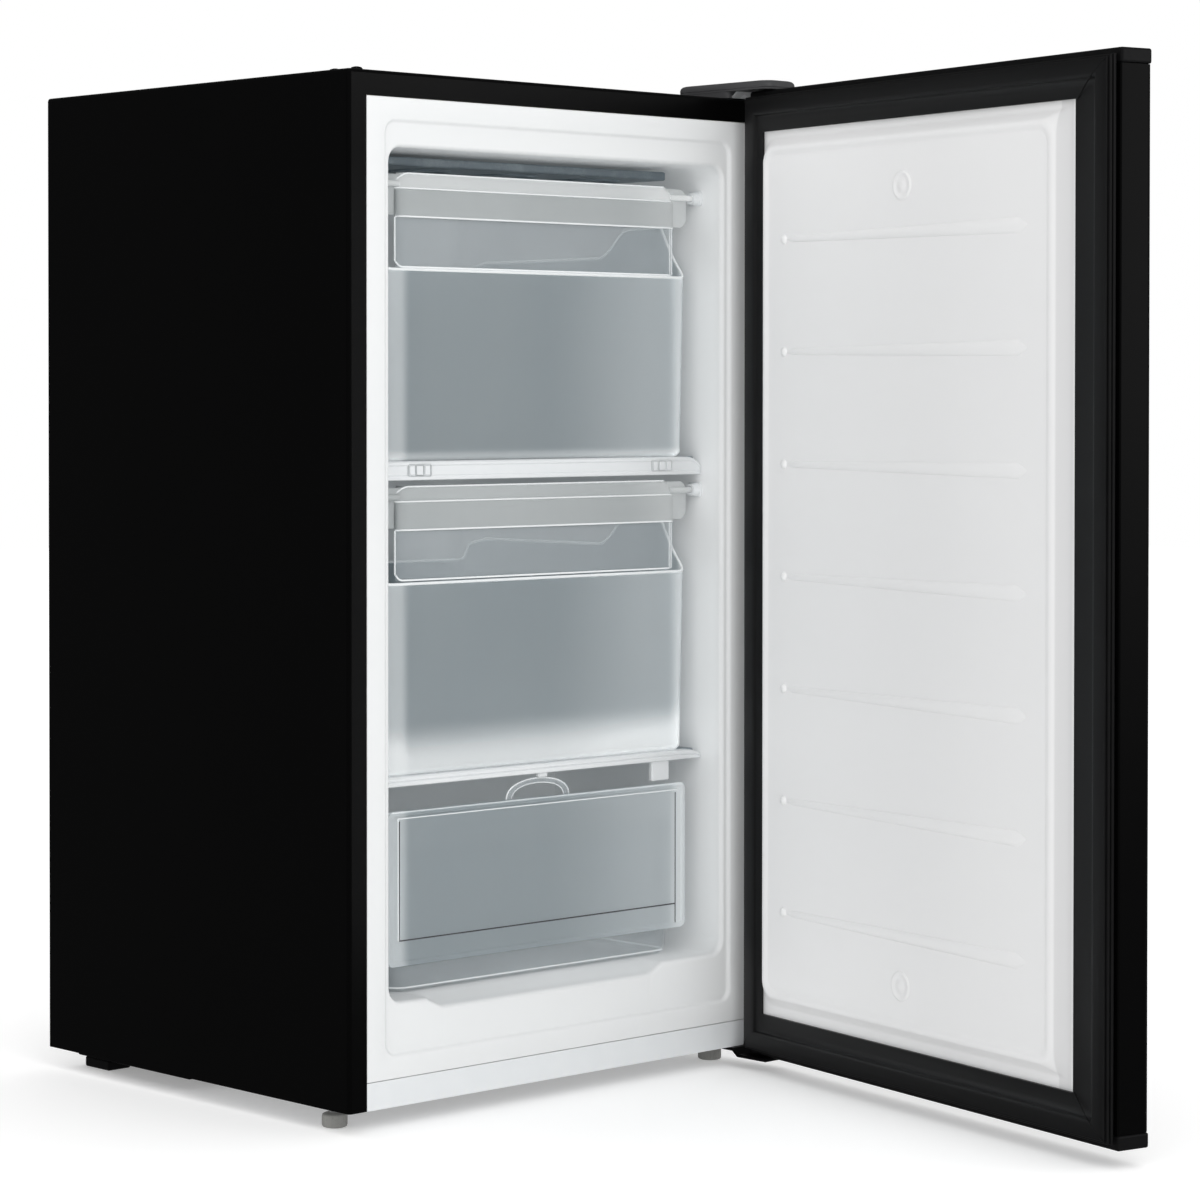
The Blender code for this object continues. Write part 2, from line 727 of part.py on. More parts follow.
def make_flap(name, top):
    """Frosted band with a clear window under it, on two stub pins that ride in the brackets."""
    pivot_z = top - FLAP_PIVOT_DROP
    band_low = top - FLAP_BAND
    step = top - 0.0135
    outline = (
        (FLAP_FRONT + 0.0025, top - 0.0015),
        (FLAP_FRONT + 0.0040, top),
        (FLAP_FRONT + 0.0075, top),
        (FLAP_FRONT + 0.0085, top - 0.001),
        (FLAP_FRONT + 0.0085, pivot_z - 0.004),
        (FLAP_FRONT + 0.0045, step - 0.006),
        (FLAP_FRONT + 0.0045, band_low),
        (FLAP_FRONT + 0.0008, band_low),
        (FLAP_FRONT, band_low + 0.001),
        (FLAP_FRONT, step),
        (FLAP_FRONT + 0.0025, step + 0.0012),
    )
    band = prism(
        f"flap_{name}_band", "YZ", outline, -FLAP_HALF, FLAP_HALF, "frosted_plastic"
    )
    for side, near in (("left", -1), ("right", 1)):
        stub = finish_mesh(
            f"flap_{name}_{side}_stub",
            turned_mesh(
                (0.0, FLAP_PIVOT_Y, pivot_z),
                ((STUB_R, near * (FLAP_HALF - 0.004)), (STUB_R, near * STUB_REACH)),
                0,
                20,
            ),
            None,
            True,
        )
        boolean(band, stub, "UNION")
    window = block(
        f"flap_{name}_window",
        (-FLAP_HALF, FLAP_FRONT + 0.0012, top - FLAP_H),
        (FLAP_HALF, FLAP_FRONT + 0.0038, band_low - GAP),
        "clear_plastic",
        0.0006,
        2,
    )
    for part in (band, window):
        set_origin(part, (0.0, FLAP_PIVOT_Y, pivot_z))
    for part in CUTTERS.objects:
        if part.name.startswith(f"flap_{name}_"):
            part.parent = band
            part.location = (0.0, -FLAP_PIVOT_Y, -pivot_z)
    for side, near in (("left", -1), ("right", 1)):
        low_x, high_x = sorted((near * (MOUTH_HALF - BRACKET_LONG), near * (MOUTH_HALF - GAP)))
        bracket = block(
            f"flap_bracket_{name}_{side}",
            (low_x, FLAP_PIVOT_Y - 0.0065, pivot_z - 0.0065),
            (high_x, FLAP_PIVOT_Y + 0.0095, pivot_z + 0.0065),
            "white_plastic",
            0.0015,
            2,
        )
        start, end = sorted((near * FLAP_HALF, near * (STUB_REACH + 0.001)))
        drill(
            bracket,
            f"bracket_{name}_{side}_bore",
            (0.0, FLAP_PIVOT_Y, pivot_z),
            STUB_R + STUB_CLEAR,
            start,
            end,
            0,
            20,
        )


def basket_ring(half, front, back, z, r):
    return [(x, y, z) for x, y in rounded_rect(-half, half, front, back, r, 5)]


def basket_mesh(bottom, top, half_bottom, half_top, front, back, wall, radius):
    """An open tub with drafted sides, a rolled foot and one wall thickness."""
    lean = (half_top - half_bottom) / (top - bottom)
    rings = [
        basket_ring(half_bottom - 0.004, front + 0.004, back - 0.004, bottom, radius - 0.004),
        basket_ring(half_bottom - 0.001, front + 0.001, back - 0.001, bottom + 0.001, radius - 0.001),
        basket_ring(half_bottom + lean * 0.004, front, back, bottom + 0.004, radius),
        basket_ring(half_top, front, back, top, radius),
        basket_ring(half_top - wall, front + wall, back - wall, top, radius - wall),
        basket_ring(
            half_bottom - wall, front + wall, back - wall, bottom + 0.005, radius - wall
        ),
        basket_ring(
            half_bottom - wall - 0.003,
            front + wall + 0.003,
            back - wall - 0.003,
            bottom + wall,
            radius - wall - 0.003,
        ),
    ]
    return loft_mesh(rings)


def make_basket(name, bottom, rim):
    """Frosted basket: low front and back walls between sides that sweep up behind the flap."""
    side_top = rim + SIDE_RISE
    basket = finish_mesh(
        f"basket_{name}",
        basket_mesh(
            bottom,
            side_top,
            BASKET_HALF_BOTTOM,
            BASKET_HALF_TOP,
            BASKET_FRONT,
            BASKET_BACK,
            BASKET_T,
            0.012,
        ),
        "frosted_plastic",
    )
    sweep = [(BASKET_FRONT - 0.02, rim)]
    for step in range(7):
        angle = math.radians(90 * step / 6)
        sweep.append(
            (
                BASKET_FRONT + 0.002 + 0.020 * math.sin(angle),
                rim + (SIDE_RISE + 0.001) * (1 - math.cos(angle)),
            )
        )
    sweep += [(BASKET_FRONT + 0.022, side_top + 0.02), (BASKET_FRONT - 0.02, side_top + 0.02)]
    reach = BASKET_HALF_TOP + 0.02
    front_cut = prism_cutter(f"{name}_front_cut", "YZ", sweep, -reach, reach)
    boolean(basket, front_cut)
    back_cut = cutter(
        f"{name}_back_cut",
        (-FLAP_HALF - 0.005, BASKET_BACK - 0.02, rim - 0.003),
        (FLAP_HALF + 0.005, BASKET_BACK + 0.02, side_top + 0.02),
    )
    boolean(basket, back_cut)


def make_lower_drawer():
    """Clear tray behind a deep frosted front plate."""
    tray = finish_mesh(
        "basket_lower",
        basket_mesh(
            MOUTH_BOTTOM + 0.0005,
            TRAY_TOP,
            TRAY_HALF_BOTTOM,
            TRAY_HALF_TOP,
            FLAP_FRONT + 0.0042,
            TRAY_BACK,
            BASKET_T,
            0.014,
        ),
        "clear_plastic",
    )
    hump = finish_mesh(
        "tray_hump",
        prism_mesh(
            "XZ",
            rounded_rect(-0.024, 0.024, TRAY_TOP - 0.010, TRAY_TOP + 0.040, 0.014, 5),
            TRAY_BACK - BASKET_T,
            TRAY_BACK,
        ),
        None,
        True,
    )
    boolean(tray, hump, "UNION")
    plate = prism(
        "basket_lower_front",
        "XZ",
        rounded_rect(
            -LOWER_PLATE_HALF, LOWER_PLATE_HALF, LOWER_PLATE[0], LOWER_PLATE[1], 0.010, 5
        ),
        FLAP_FRONT,
        FLAP_FRONT + 0.0040,
        "frosted_plastic",
    )
    frame = finish_mesh(
        "plate_field",
        prism_mesh(
            "XZ",
            rounded_rect(
                -LOWER_PLATE_HALF + 0.008,
                LOWER_PLATE_HALF - 0.008,
                LOWER_PLATE[0] + 0.018,
                LOWER_PLATE[1] - 0.008,
                0.008,
                5,
            ),
            FLAP_FRONT - 0.01,
            FLAP_FRONT + 0.0008,
        ),
        None,
        True,
    )
    boolean(plate, frame)


def make_hinges():
    """Top and bottom hinge plates with fixed pins, and the cover over the upper one."""
    top = CABINET_TOP
    lift = DOOR_TOP + 0.0012
    bend = (
        (0.058, top + GAP),
        (0.058, top + GAP + 0.0022),
        (0.0, top + GAP + 0.0022),
        (-0.006, lift + 0.0022),
        (PIVOT_Y - 0.010, lift + 0.0022),
        (PIVOT_Y - 0.010, lift),
        (-0.0045, lift),
        (0.001, top + GAP),
    )
    plate = prism("hinge_plate_top", "YZ", bend, PIVOT_X - 0.0245, PIVOT_X + 0.010, "galvanised")
    pin = finish_mesh(
        "top_pin",
        turned_mesh((PIVOT_X, PIVOT_Y, 0.0), ((PIN_R, DOOR_TOP - 0.010), (PIN_R, lift + 0.001)), 2, 24),
        None,
        True,
    )
    boolean(plate, pin, "UNION")
    for name, y in (("front", 0.018), ("rear", 0.046)):
        turned(
            f"hinge_screw_{name}",
            (PIVOT_X - 0.007, y, top + GAP + 0.0025),
            ((0.0045, 0.0), (0.0045, 0.0014), (0.0030, 0.0026)),
            "galvanised",
            count=20,
        )
    roof = top + 0.0135
    outline = (
        (0.066, top + GAP),
        (0.066, roof - 0.003),
        (0.063, roof),
        (PIVOT_Y - 0.010, roof),
        (PIVOT_Y - 0.0135, roof - 0.0015),
        (PIVOT_Y - 0.0145, roof - 0.0045),
        (PIVOT_Y - 0.0145, DOOR_TOP + 0.0006),
        (0.0008, DOOR_TOP + 0.0006),
        (0.0008, top + GAP),
    )
    cover = prism("hinge_cover", "YZ", outline, PIVOT_X - 0.030, CABINET_W / 2, "grey_plastic")
    room = cutter(
        "cover_room",
        (PIVOT_X - 0.028, PIVOT_Y - 0.0125, top - 0.02),
        (CABINET_W / 2 - 0.0012, 0.064, roof - 0.0015),
        0.001,
        2,
        1,
    )
    boolean(cover, room)
    low = DOOR_BOTTOM - 0.0012
    bracket_outline = (
        (0.0205, CABINET_BOTTOM - GAP),
        (0.0205, CABINET_BOTTOM - 0.0030),
        (-0.002, CABINET_BOTTOM - 0.0030),
        (-0.008, low - 0.0025),
        (PIVOT_Y - 0.010, low - 0.0025),
        (PIVOT_Y - 0.010, low),
        (-0.0095, low),
        (-0.0030, CABINET_BOTTOM - GAP),
    )
    bracket = prism(
        "hinge_bracket_bottom", "YZ", bracket_outline, PIVOT_X - 0.0265, PIVOT_X + 0.010, "black_steel"
    )
    low_pin = finish_mesh(
        "bottom_pin",
        turned_mesh((PIVOT_X, PIVOT_Y, 0.0), ((PIN_R, low - 0.001), (PIN_R, DOOR_BOTTOM + 0.010)), 2, 24),
        None,
        True,
    )
    boolean(bracket, low_pin, "UNION")


def make_plugs():
    """Two plugs in the spare hinge holes at the left of the top."""
    for name, y in (("front", 0.012), ("rear", 0.038)):
        turned(
            f"hole_plug_{name}",
            (-CABINET_W / 2 + 0.0185, y, CABINET_TOP + GAP),
            ((0.0050, 0.0), (0.0050, 0.0006), (0.0040, 0.0018), (0.0016, 0.0024)),
            "black_plastic",
            count=20,
        )


def make_door_skin():
    """Folded steel pan with a rounded outer edge and a return flange behind the gasket."""
    outer = -DOOR_GAP - DOOR_T
    inner = -DOOR_GAP
    low = DOOR_BOTTOM + CAP_H
    high = DOOR_TOP - CAP_H
    half = DOOR_W / 2
    rings = []
    sections = ((0.003, 0.0), (0.0010, 0.0004), (0.0, 0.003), (0.0, DOOR_T - 0.001), (0.001, DOOR_T))
    for inset, rise in sections:
        rings.append(pan_ring(half - inset, low, high, outer + rise))
    rings.append(pan_ring(half - 0.014, low + 0.002, high - 0.002, inner))
    rings.append(pan_ring(half - 0.014, low + 0.002, high - 0.002, inner - SKIN))
    rings.append(pan_ring(half - SKIN, low + 0.0012, high - 0.0012, inner - SKIN))
    rings.append(pan_ring(half - SKIN, low + 0.0012, high - 0.0012, outer + SKIN))
    return loft("door_skin", rings, "black_steel")


def pan_ring(half, low, high, y):
    return ((-half, y, low), (half, y, low), (half, y, high), (-half, y, high))


def make_door_caps():
    """Moulded end caps that close the pan and carry the hinge bushes."""
    outer = -DOOR_GAP - DOOR_T - 0.0005
    half = DOOR_W / 2 + 0.0005
    inner = -DOOR_GAP
    caps = []
    spans = (
        ("top", DOOR_TOP - CAP_H + GAP, DOOR_TOP),
        ("bottom", DOOR_BOTTOM, DOOR_BOTTOM + CAP_H - GAP),
    )
    for name, low, high in spans:
        cap = block(
            f"door_cap_{name}", (-half, outer, low), (half, inner, high), "black_plastic", 0.0018, 3
        )
        room = (DOOR_TOP - 0.0112, DOOR_TOP + 0.01)
        if name == "bottom":
            room = (DOOR_BOTTOM - 0.01, DOOR_BOTTOM + 0.0112)
        drill(cap, f"cap_{name}_hole", (PIVOT_X, PIVOT_Y, 0.0), BUSH_R + GAP, *room)
        caps.append(cap)
    return caps


def make_bushes():
    bushes = []
    for name, low, high in (
        ("top", DOOR_TOP - 0.0105, DOOR_TOP - 0.0002),
        ("bottom", DOOR_BOTTOM + 0.0002, DOOR_BOTTOM + 0.0105),
    ):
        bush = turned(
            f"hinge_bush_{name}",
            (PIVOT_X, PIVOT_Y, 0.0),
            ((BUSH_R, low), (BUSH_R, high)),
            "black_plastic",
        )
        drill(bush, f"bush_{name}_bore", (PIVOT_X, PIVOT_Y, 0.0), PIN_R + PIN_CLEAR, low - 0.01, high + 0.01)
        bushes.append(bush)
    return bushes


def liner_ring(free, hinge, low, high, y, r):
    return [(x, y, z) for x, z in rounded_rect(free, hinge, low, high, r, 5)]


def make_door_liner():
    """Inner panel: a flat border, then a raised field with rounded corners and pressed ribs."""
    base = -DOOR_GAP + GAP
    thick = 0.0015
    rise = PLATEAU_RISE
    free, hinge = PLATEAU_FREE, PLATEAU_HINGE
    low, high = PLATEAU_BOTTOM, PLATEAU_TOP
    edge = DOOR_W / 2 - 0.010
    rings = [
        liner_ring(free + 0.003, hinge - 0.003, low + 0.003, high - 0.003, base + rise, 0.013),
        liner_ring(free, hinge, low, high, base + rise * 0.93, 0.013),
        liner_ring(free - 0.004, hinge + 0.0015, low - 0.0015, high + 0.0015, base + rise * 0.62, 0.012),
        liner_ring(free - 0.011, hinge + 0.004, low - 0.004, high + 0.004, base + thick, 0.012),
        liner_ring(-edge, edge, DOOR_BOTTOM + 0.016, DOOR_TOP - 0.016, base + thick, 0.004),
        liner_ring(-edge, edge, DOOR_BOTTOM + 0.016, DOOR_TOP - 0.016, base, 0.004),
        liner_ring(free - 0.003, hinge - 0.001, low + 0.001, high - 0.001, base, 0.011),
        liner_ring(free + 0.004, hinge - 0.004, low + 0.004, high - 0.004, base + rise - thick, 0.012),
    ]
    liner = loft("door_liner", rings, "door_liner_plastic")
    face = base + rise
    for index in range(RIB_COUNT):
        z = RIB_TOP - index * RIB_PITCH
        groove = finish_mesh(
            f"liner_rib_{index + 1}",
            rib_mesh(z, face),
            None,
            True,
        )
        boolean(liner, groove)
    return liner


def rib_mesh(z, face):
    """A long shallow groove cutter with round ends."""
    rings = []
    for grow, y in ((0.0012, face + 0.001), (0.0, face), (-0.0028, face - 0.0008)):
        r = RIB_R + grow
        rings.append(
            [
                (x, y, zz)
                for x, zz in rounded_rect(RIB_FREE - grow, RIB_HINGE + grow, z - r, z + r, r * 0.999, 6)
            ]
        )
    return loft_mesh(rings)


def make_gasket():
    """Magnetic seal: a mitred bellows frame that overlaps the liner's border."""
    base = -DOOR_GAP + GAP + 0.0015 + GAP
    top = -0.0006
    low, high = DOOR_BOTTOM + 0.002, DOOR_TOP - 0.002
    half = DOOR_W / 2
    section = (
        (0.0030, base),
        (0.0030, base + 0.0036),
        (0.0036, base + 0.0050),
        (0.0048, top - 0.0014),
        (0.0072, top - 0.0007),
        (0.0097, top),
        (0.0108, top - 0.0012),
        (0.0119, top),
        (0.0165, top),
        (0.0182, top - 0.0014),
        (0.0190, base + 0.0030),
        (0.0205, base + 0.0016),
    )
    rings = []
    for inset, y in section:
        rings.append(frame_ring(-half + inset, half - inset, low + inset, high - inset, y))
    inner = (PLATEAU_FREE - 0.0205, PLATEAU_HINGE + 0.0065, PLATEAU_BOTTOM - 0.017, PLATEAU_TOP + 0.013)
    rings.append(frame_ring(*inner, base + 0.0014))
    rings.append(frame_ring(*inner, base))
    return loft("door_gasket", rings, "rubber", closed=True)


def frame_ring(x0, x1, z0, z1, y):
    return ((x0, y, z0), (x1, y, z0), (x1, y, z1), (x0, y, z1))


def make_door():
    hinge = bpy.data.objects.new("door_hinge_axis", None)
    hinge.empty_display_size = 0.05
    PARTS.objects.link(hinge)
    hinge.location = (PIVOT_X, PIVOT_Y, 0.0)
    hinge.rotation_euler = (0.0, 0.0, DOOR_OPEN)
    before = set(PARTS.objects) | set(CUTTERS.objects)
    make_door_skin()
    make_door_caps()
    make_bushes()
    make_door_liner()
    make_gasket()
    core = DOOR_W / 2 - SKIN - GAP
    block(
        "door_foam",
        (-core, -DOOR_GAP - DOOR_T + SKIN + GAP, DOOR_BOTTOM + CAP_H + 0.0016),
        (core, -DOOR_GAP - SKIN - GAP, DOOR_TOP - CAP_H - 0.0016),
        "foam",
    )
    for obj in (set(PARTS.objects) | set(CUTTERS.objects)) - before:
        obj.parent = hinge
        obj.location = (-PIVOT_X, -PIVOT_Y, 0.0)


def centre_on_footprint():
    """Moves everything so that the origin is under the middle of the open freezer, on the floor."""
    bpy.context.view_layer.update()
    graph = bpy.context.evaluated_depsgraph_get()
    spans = []
    for obj in PARTS.objects:
        if obj.type != "MESH":
            continue
        solid = obj.evaluated_get(graph)
        mesh = solid.to_mesh()
        spans += [(solid.matrix_world @ v.co) for v in mesh.vertices]
        solid.to_mesh_clear()
    shift = Vector()
    for axis in (0, 1):
        values = [p[axis] for p in spans]
        shift[axis] = -(min(values) + max(values)) / 2
    shift[2] = -min(p[2] for p in spans)
    for obj in list(PARTS.objects) + list(CUTTERS.objects):
        if obj.parent is None:
            obj.location += shift


clear_scene()
PARTS = make_collection("upright_freezer")
CUTTERS = make_collection("cutters", hidden=True)
make_materials()
make_outer_shell()
make_inner_liner()
make_foam()
make_cabinet_sheets()
make_compressor()
make_thermostat()
make_feet()
make_shelves()
make_flap("upper", UPPER_FLAP_TOP)
make_flap("middle", MIDDLE_FLAP_TOP)
make_basket("upper", UPPER_BASKET_BOTTOM, UPPER_BASKET_RIM)
make_basket("middle", MIDDLE_BASKET_BOTTOM, MIDDLE_BASKET_RIM)
make_lower_drawer()
make_hinges()
make_plugs()
make_door()
centre_on_footprint()
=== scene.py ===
"""Small upright freezer with its door open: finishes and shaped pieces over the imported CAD."""

import json
import math

import bmesh
import bpy
from mathutils import Matrix, Vector


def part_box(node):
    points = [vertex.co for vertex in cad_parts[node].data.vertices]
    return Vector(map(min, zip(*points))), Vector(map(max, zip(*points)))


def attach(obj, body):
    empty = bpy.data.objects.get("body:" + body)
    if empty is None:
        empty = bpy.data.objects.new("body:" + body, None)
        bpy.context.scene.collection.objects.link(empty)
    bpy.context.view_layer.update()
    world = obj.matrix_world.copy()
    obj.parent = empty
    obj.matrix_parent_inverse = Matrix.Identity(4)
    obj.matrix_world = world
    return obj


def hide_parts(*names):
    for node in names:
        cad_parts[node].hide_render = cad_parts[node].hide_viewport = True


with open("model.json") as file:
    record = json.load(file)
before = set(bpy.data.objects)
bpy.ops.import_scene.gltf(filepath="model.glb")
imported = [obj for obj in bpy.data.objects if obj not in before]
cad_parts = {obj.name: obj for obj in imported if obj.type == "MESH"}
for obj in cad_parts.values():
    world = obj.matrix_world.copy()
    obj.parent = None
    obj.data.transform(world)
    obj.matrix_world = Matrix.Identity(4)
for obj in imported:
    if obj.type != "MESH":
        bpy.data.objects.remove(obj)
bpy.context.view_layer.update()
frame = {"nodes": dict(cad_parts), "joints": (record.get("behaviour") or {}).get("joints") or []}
NODES = frame["nodes"]

# Sizes, in metres, measured from the front plane of the cabinet and its middle.
SHELL_LOW, SHELL_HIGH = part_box("outer_shell")
MIDDLE = (SHELL_LOW.x + SHELL_HIGH.x) / 2
FRONT = SHELL_LOW.y
HINGE = next(j for j in frame["joints"] if j["name"] == "door_hinge")["pos_m"]
PIVOT_X = HINGE[0] - MIDDLE
PIVOT_Y = HINGE[1] - FRONT
DOOR_OPEN = math.radians(78.8)
DOOR_HALF = 0.239
DOOR_LOW = 0.014
DOOR_HIGH = 0.846
MOUTH_HALF = 0.190
MOUTH_TOP = 0.7815
MOUTH_BOTTOM = 0.1005
FLAP_HALF = 0.159
FLAP_FRONT = 0.028
FLAP_BAND = 0.036
UPPER_FLAP_TOP = 0.764
MIDDLE_FLAP_TOP = 0.511
BAND_STEP_DROP = 0.0127
UPPER_BASKET_FOOT = 0.5313
UPPER_BASKET_RIM = 0.6855
MIDDLE_BASKET_FOOT = 0.2768
MIDDLE_BASKET_RIM = 0.4315
DRAWER_FOOT = 0.1230

IN_CABINET = Matrix.Translation((MIDDLE, FRONT, 0.0))
IN_DOOR = (
    Matrix.Translation((HINGE[0], HINGE[1], 0.0))
    @ Matrix.Rotation(DOOR_OPEN, 4, "Z")
    @ Matrix.Translation((-PIVOT_X, -PIVOT_Y, 0.0))
)


# ---------------------------------------------------------------- finishes


class Tone:
    """A value or colour inside a finish, which Python's own operators can work on."""

    def __init__(self, finish, socket):
        self.finish = finish
        self.socket = socket

    def math(self, operation, *others):
        values = {index + 1: other for index, other in enumerate(others)}
        return self.finish.node("Math", {"operation": operation}, {0: self, **values})

    def __add__(self, other):
        return self.math("ADD", other)

    __radd__ = __add__

    def __mul__(self, other):
        return self.math("MULTIPLY", other)

    __rmul__ = __mul__

    def __sub__(self, other):
        return self.math("SUBTRACT", other)

    def __rsub__(self, other):
        return (self * -1.0) + other

    def clamp(self):
        return self.finish.node("Clamp", {}, {0: self})


class Finish:
    """One material: a main shader, and the nodes that vary its colour, gloss and relief."""

    def __init__(self, name):
        self.material = bpy.data.materials.new(name)
        self.material.use_nodes = True
        self.tree = self.material.node_tree
        self.shader = next(n for n in self.tree.nodes if n.type == "BSDF_PRINCIPLED")

    def node(self, kind, settings=None, values=None, output=0):
        made = self.tree.nodes.new("ShaderNode" + kind)
        for key, setting in (settings or {}).items():
            if key == "stops":
                self.set_stops(made, setting)
            else:
                setattr(made, key, setting)
        for key, value in (values or {}).items():
            self.feed(made.inputs[key], value)
        return Tone(self, made.outputs[output])

    def set_stops(self, made, stops):
        ramp = made.color_ramp
        while len(ramp.elements) < len(stops):
            ramp.elements.new(0.5)
        for element, (place, shade) in zip(ramp.elements, stops):
            element.position = place
            element.color = (shade, shade, shade, 1.0)

    def feed(self, socket, value):
        if isinstance(value, Tone):
            self.tree.links.new(value.socket, socket)
        else:
            socket.default_value = value

    def where(self, stretch=(1.0, 1.0, 1.0)):
        spot = self.node("TexCoord", output=3)
        return self.node("Mapping", {}, {"Vector": spot, "Scale": stretch})

    def noise(self, scale, detail=2.0, rough=0.5, stretch=(1.0, 1.0, 1.0)):
        values = {"Vector": self.where(stretch), "Scale": scale, "Detail": detail}
        return self.node("TexNoise", {}, {**values, "Roughness": rough})

    def cells(self, scale, output=0, stretch=(1.0, 1.0, 1.0)):
        values = {"Vector": self.where(stretch), "Scale": scale}
        return self.node("TexVoronoi", {}, values, output)

    def ramp(self, factor, *stops):
        return self.node("ValToRGB", {"stops": stops}, {0: factor})

    def blend(self, factor, first, second):
        values = {0: factor, 6: as_colour(first), 7: as_colour(second)}
        return self.node("Mix", {"data_type": "RGBA"}, values, 2)

    def spot(self, axis):
        """Where this point of the surface is, along one axis."""
        place = self.node("TexCoord", output=3)
        return self.node("SeparateXYZ", {}, {0: place}, "XYZ".index(axis))

    def rise(self, value, start, end):
        """0 at the start, 1 at the end, and smooth between them."""
        values = {"Value": value, "From Min": start, "From Max": end}
        return self.node("MapRange", {"interpolation_type": "SMOOTHSTEP"}, values)

    def relief(self, height, strength, depth):
        values = {"Height": height, "Strength": strength, "Distance": depth}
        return self.node("Bump", {}, values)

    def shade(self, **sockets):
        """Feeds the main shader's own sockets, each named in small letters."""
        for key, value in sockets.items():
            socket = key.replace("_", " ").title().replace("Ior", "IOR")
            self.feed(self.shader.inputs[socket], value)
        return self.material


def as_colour(value):
    """A plain colour with its alpha; a varied one as it is."""
    return value if isinstance(value, Tone) else (*value, 1.0)


DARK = (0.0, 0.0, 0.0)


def black_enamel():
    """Stoved black paint on steel: fine orange peel, soft patches of gloss, a little dust."""
    f = Finish("black_enamel")
    peel = f.noise(850.0, 2.0)
    patches = f.noise(7.0, 4.0, 0.6)
    dust = f.ramp(f.noise(260.0, 6.0, 0.75), (0.62, 0.0), (0.80, 1.0))
    colour = f.blend(patches * 0.5, (0.0010, 0.0010, 0.0011), (0.0019, 0.0019, 0.0020))
    return f.shade(
        base_color=f.blend(dust * 0.05, colour, (0.03, 0.03, 0.03)),
        roughness=patches * 0.10 + 0.26,
        specular_ior_level=0.16,
        normal=f.relief(peel, 0.10, 0.0002),
    )


def black_moulding():
    """Black ABS with a fine spark-eroded grain."""
    f = Finish("black_moulding")
    grain = f.cells(1500.0)
    drift = f.noise(30.0, 3.0)
    return f.shade(
        base_color=f.blend(drift, (0.0035, 0.0035, 0.0038), (0.0065, 0.0065, 0.0070)),
        roughness=drift * 0.14 + 0.34,
        specular_ior_level=0.25,
        normal=f.relief(grain, 0.18, 0.0002),
    )


def seal_rubber():
    """Soft black PVC seal with a waxy bloom."""
    f = Finish("seal_rubber")
    bloom = f.noise(45.0, 5.0, 0.65)
    grain = f.noise(1400.0, 2.0)
    return f.shade(
        base_color=f.blend(bloom, (0.0050, 0.0050, 0.0053), (0.0090, 0.0090, 0.0095)),
        roughness=bloom * 0.15 + 0.40,
        specular_ior_level=0.32,
        normal=f.relief(grain, 0.15, 0.0002),
    )


def white_liner():
    """Vacuum-formed white polystyrene with an even gloss, and a painted glow inside the tub that stands in
    for light bounced about it.
    """
    f = Finish("white_liner")
    drift = f.noise(5.0, 3.0)
    grain = f.noise(700.0, 2.0)
    smear = f.noise(24.0, 5.0, 0.7, (1.0, 1.0, 0.25))
    # Painted light: emission brightens the liner inside the tub, from just behind the front flange inwards,
    # weaker towards the left side of the mouth.
    reach = f.rise(f.spot("X") - MIDDLE, -MOUTH_HALF, 0.0300) * 0.7 + 0.3
    inside = f.rise(f.spot("Y") - FRONT, 0.0020, 0.0160) * reach
    return f.shade(
        base_color=f.blend(drift, (0.80, 0.815, 0.82), (0.845, 0.855, 0.855)),
        roughness=smear * 0.16 + 0.24,
        specular_ior_level=0.45,
        emission_color=f.blend(inside, DARK, (0.94, 0.98, 1.0)),
        emission_strength=0.075,
        normal=f.relief(grain, 0.02, 0.0002),
    )


# Across the door, from the free side: where painted shade greys the panel's flank, and where a painted glow
# brightens its hinge half.
FLANK_SHADE_START = (-0.1890, -0.1865)
FLANK_SHADE_END = (-0.1725, -0.1745)
HINGE_GLOW = (-0.0500, 0.1900)


def door_panel_white():
    """Satin white polystyrene of the door panel: a slight draw ripple, painted shade that greys the flank
    on the free side, and a painted glow over the hinge half.
    """
    f = Finish("door_panel_white")
    drift = f.noise(4.0, 3.0)
    ripple = f.noise(18.0, 3.0, 0.5, (1.0, 1.0, 0.3))
    grain = f.noise(900.0, 2.0)
    out = (f.spot("X") - HINGE[0]) * math.cos(DOOR_OPEN)
    out += (f.spot("Y") - HINGE[1]) * math.sin(DOOR_OPEN)
    # Painted shade: the flank's base colour is darkened between these marks across the door.
    flank = f.rise(out + PIVOT_X, *FLANK_SHADE_START) * f.rise(out + PIVOT_X, *FLANK_SHADE_END)
    light = f.blend(drift, (0.775, 0.775, 0.78), (0.805, 0.805, 0.805))
    return f.shade(
        base_color=f.blend(flank, light, (0.665, 0.665, 0.670)),
        # Painted light: emission brightens the panel's hinge half.
        emission_color=f.blend(f.rise(out + PIVOT_X, *HINGE_GLOW), DARK, (1.0, 1.0, 1.0)),
        emission_strength=0.10,
        roughness=ripple * 0.14 + 0.34,
        specular_ior_level=0.4,
        normal=f.relief(ripple * 0.6 + grain * 0.1, 0.08, 0.0008),
    )


def white_moulding():
    """Injection-moulded white ABS: trims, sockets, kick strip."""
    f = Finish("white_moulding")
    drift = f.noise(40.0, 3.0)
    grain = f.cells(1600.0)
    return f.shade(
        base_color=f.blend(drift, (0.765, 0.79, 0.805), (0.815, 0.835, 0.845)),
        roughness=drift * 0.12 + 0.28,
        specular_ior_level=0.45,
        normal=f.relief(grain, 0.08, 0.0001),
    )


# Where the painted glow starts and stops across a basket, and where it fades behind the front.
GLOW_LEFT_CORNER = (-0.1450, -0.1570)
GLOW_RIGHT_CORNER = (0.1500, 0.1620)
GLOW_BEHIND_FRONT = (0.0380, 0.0440)


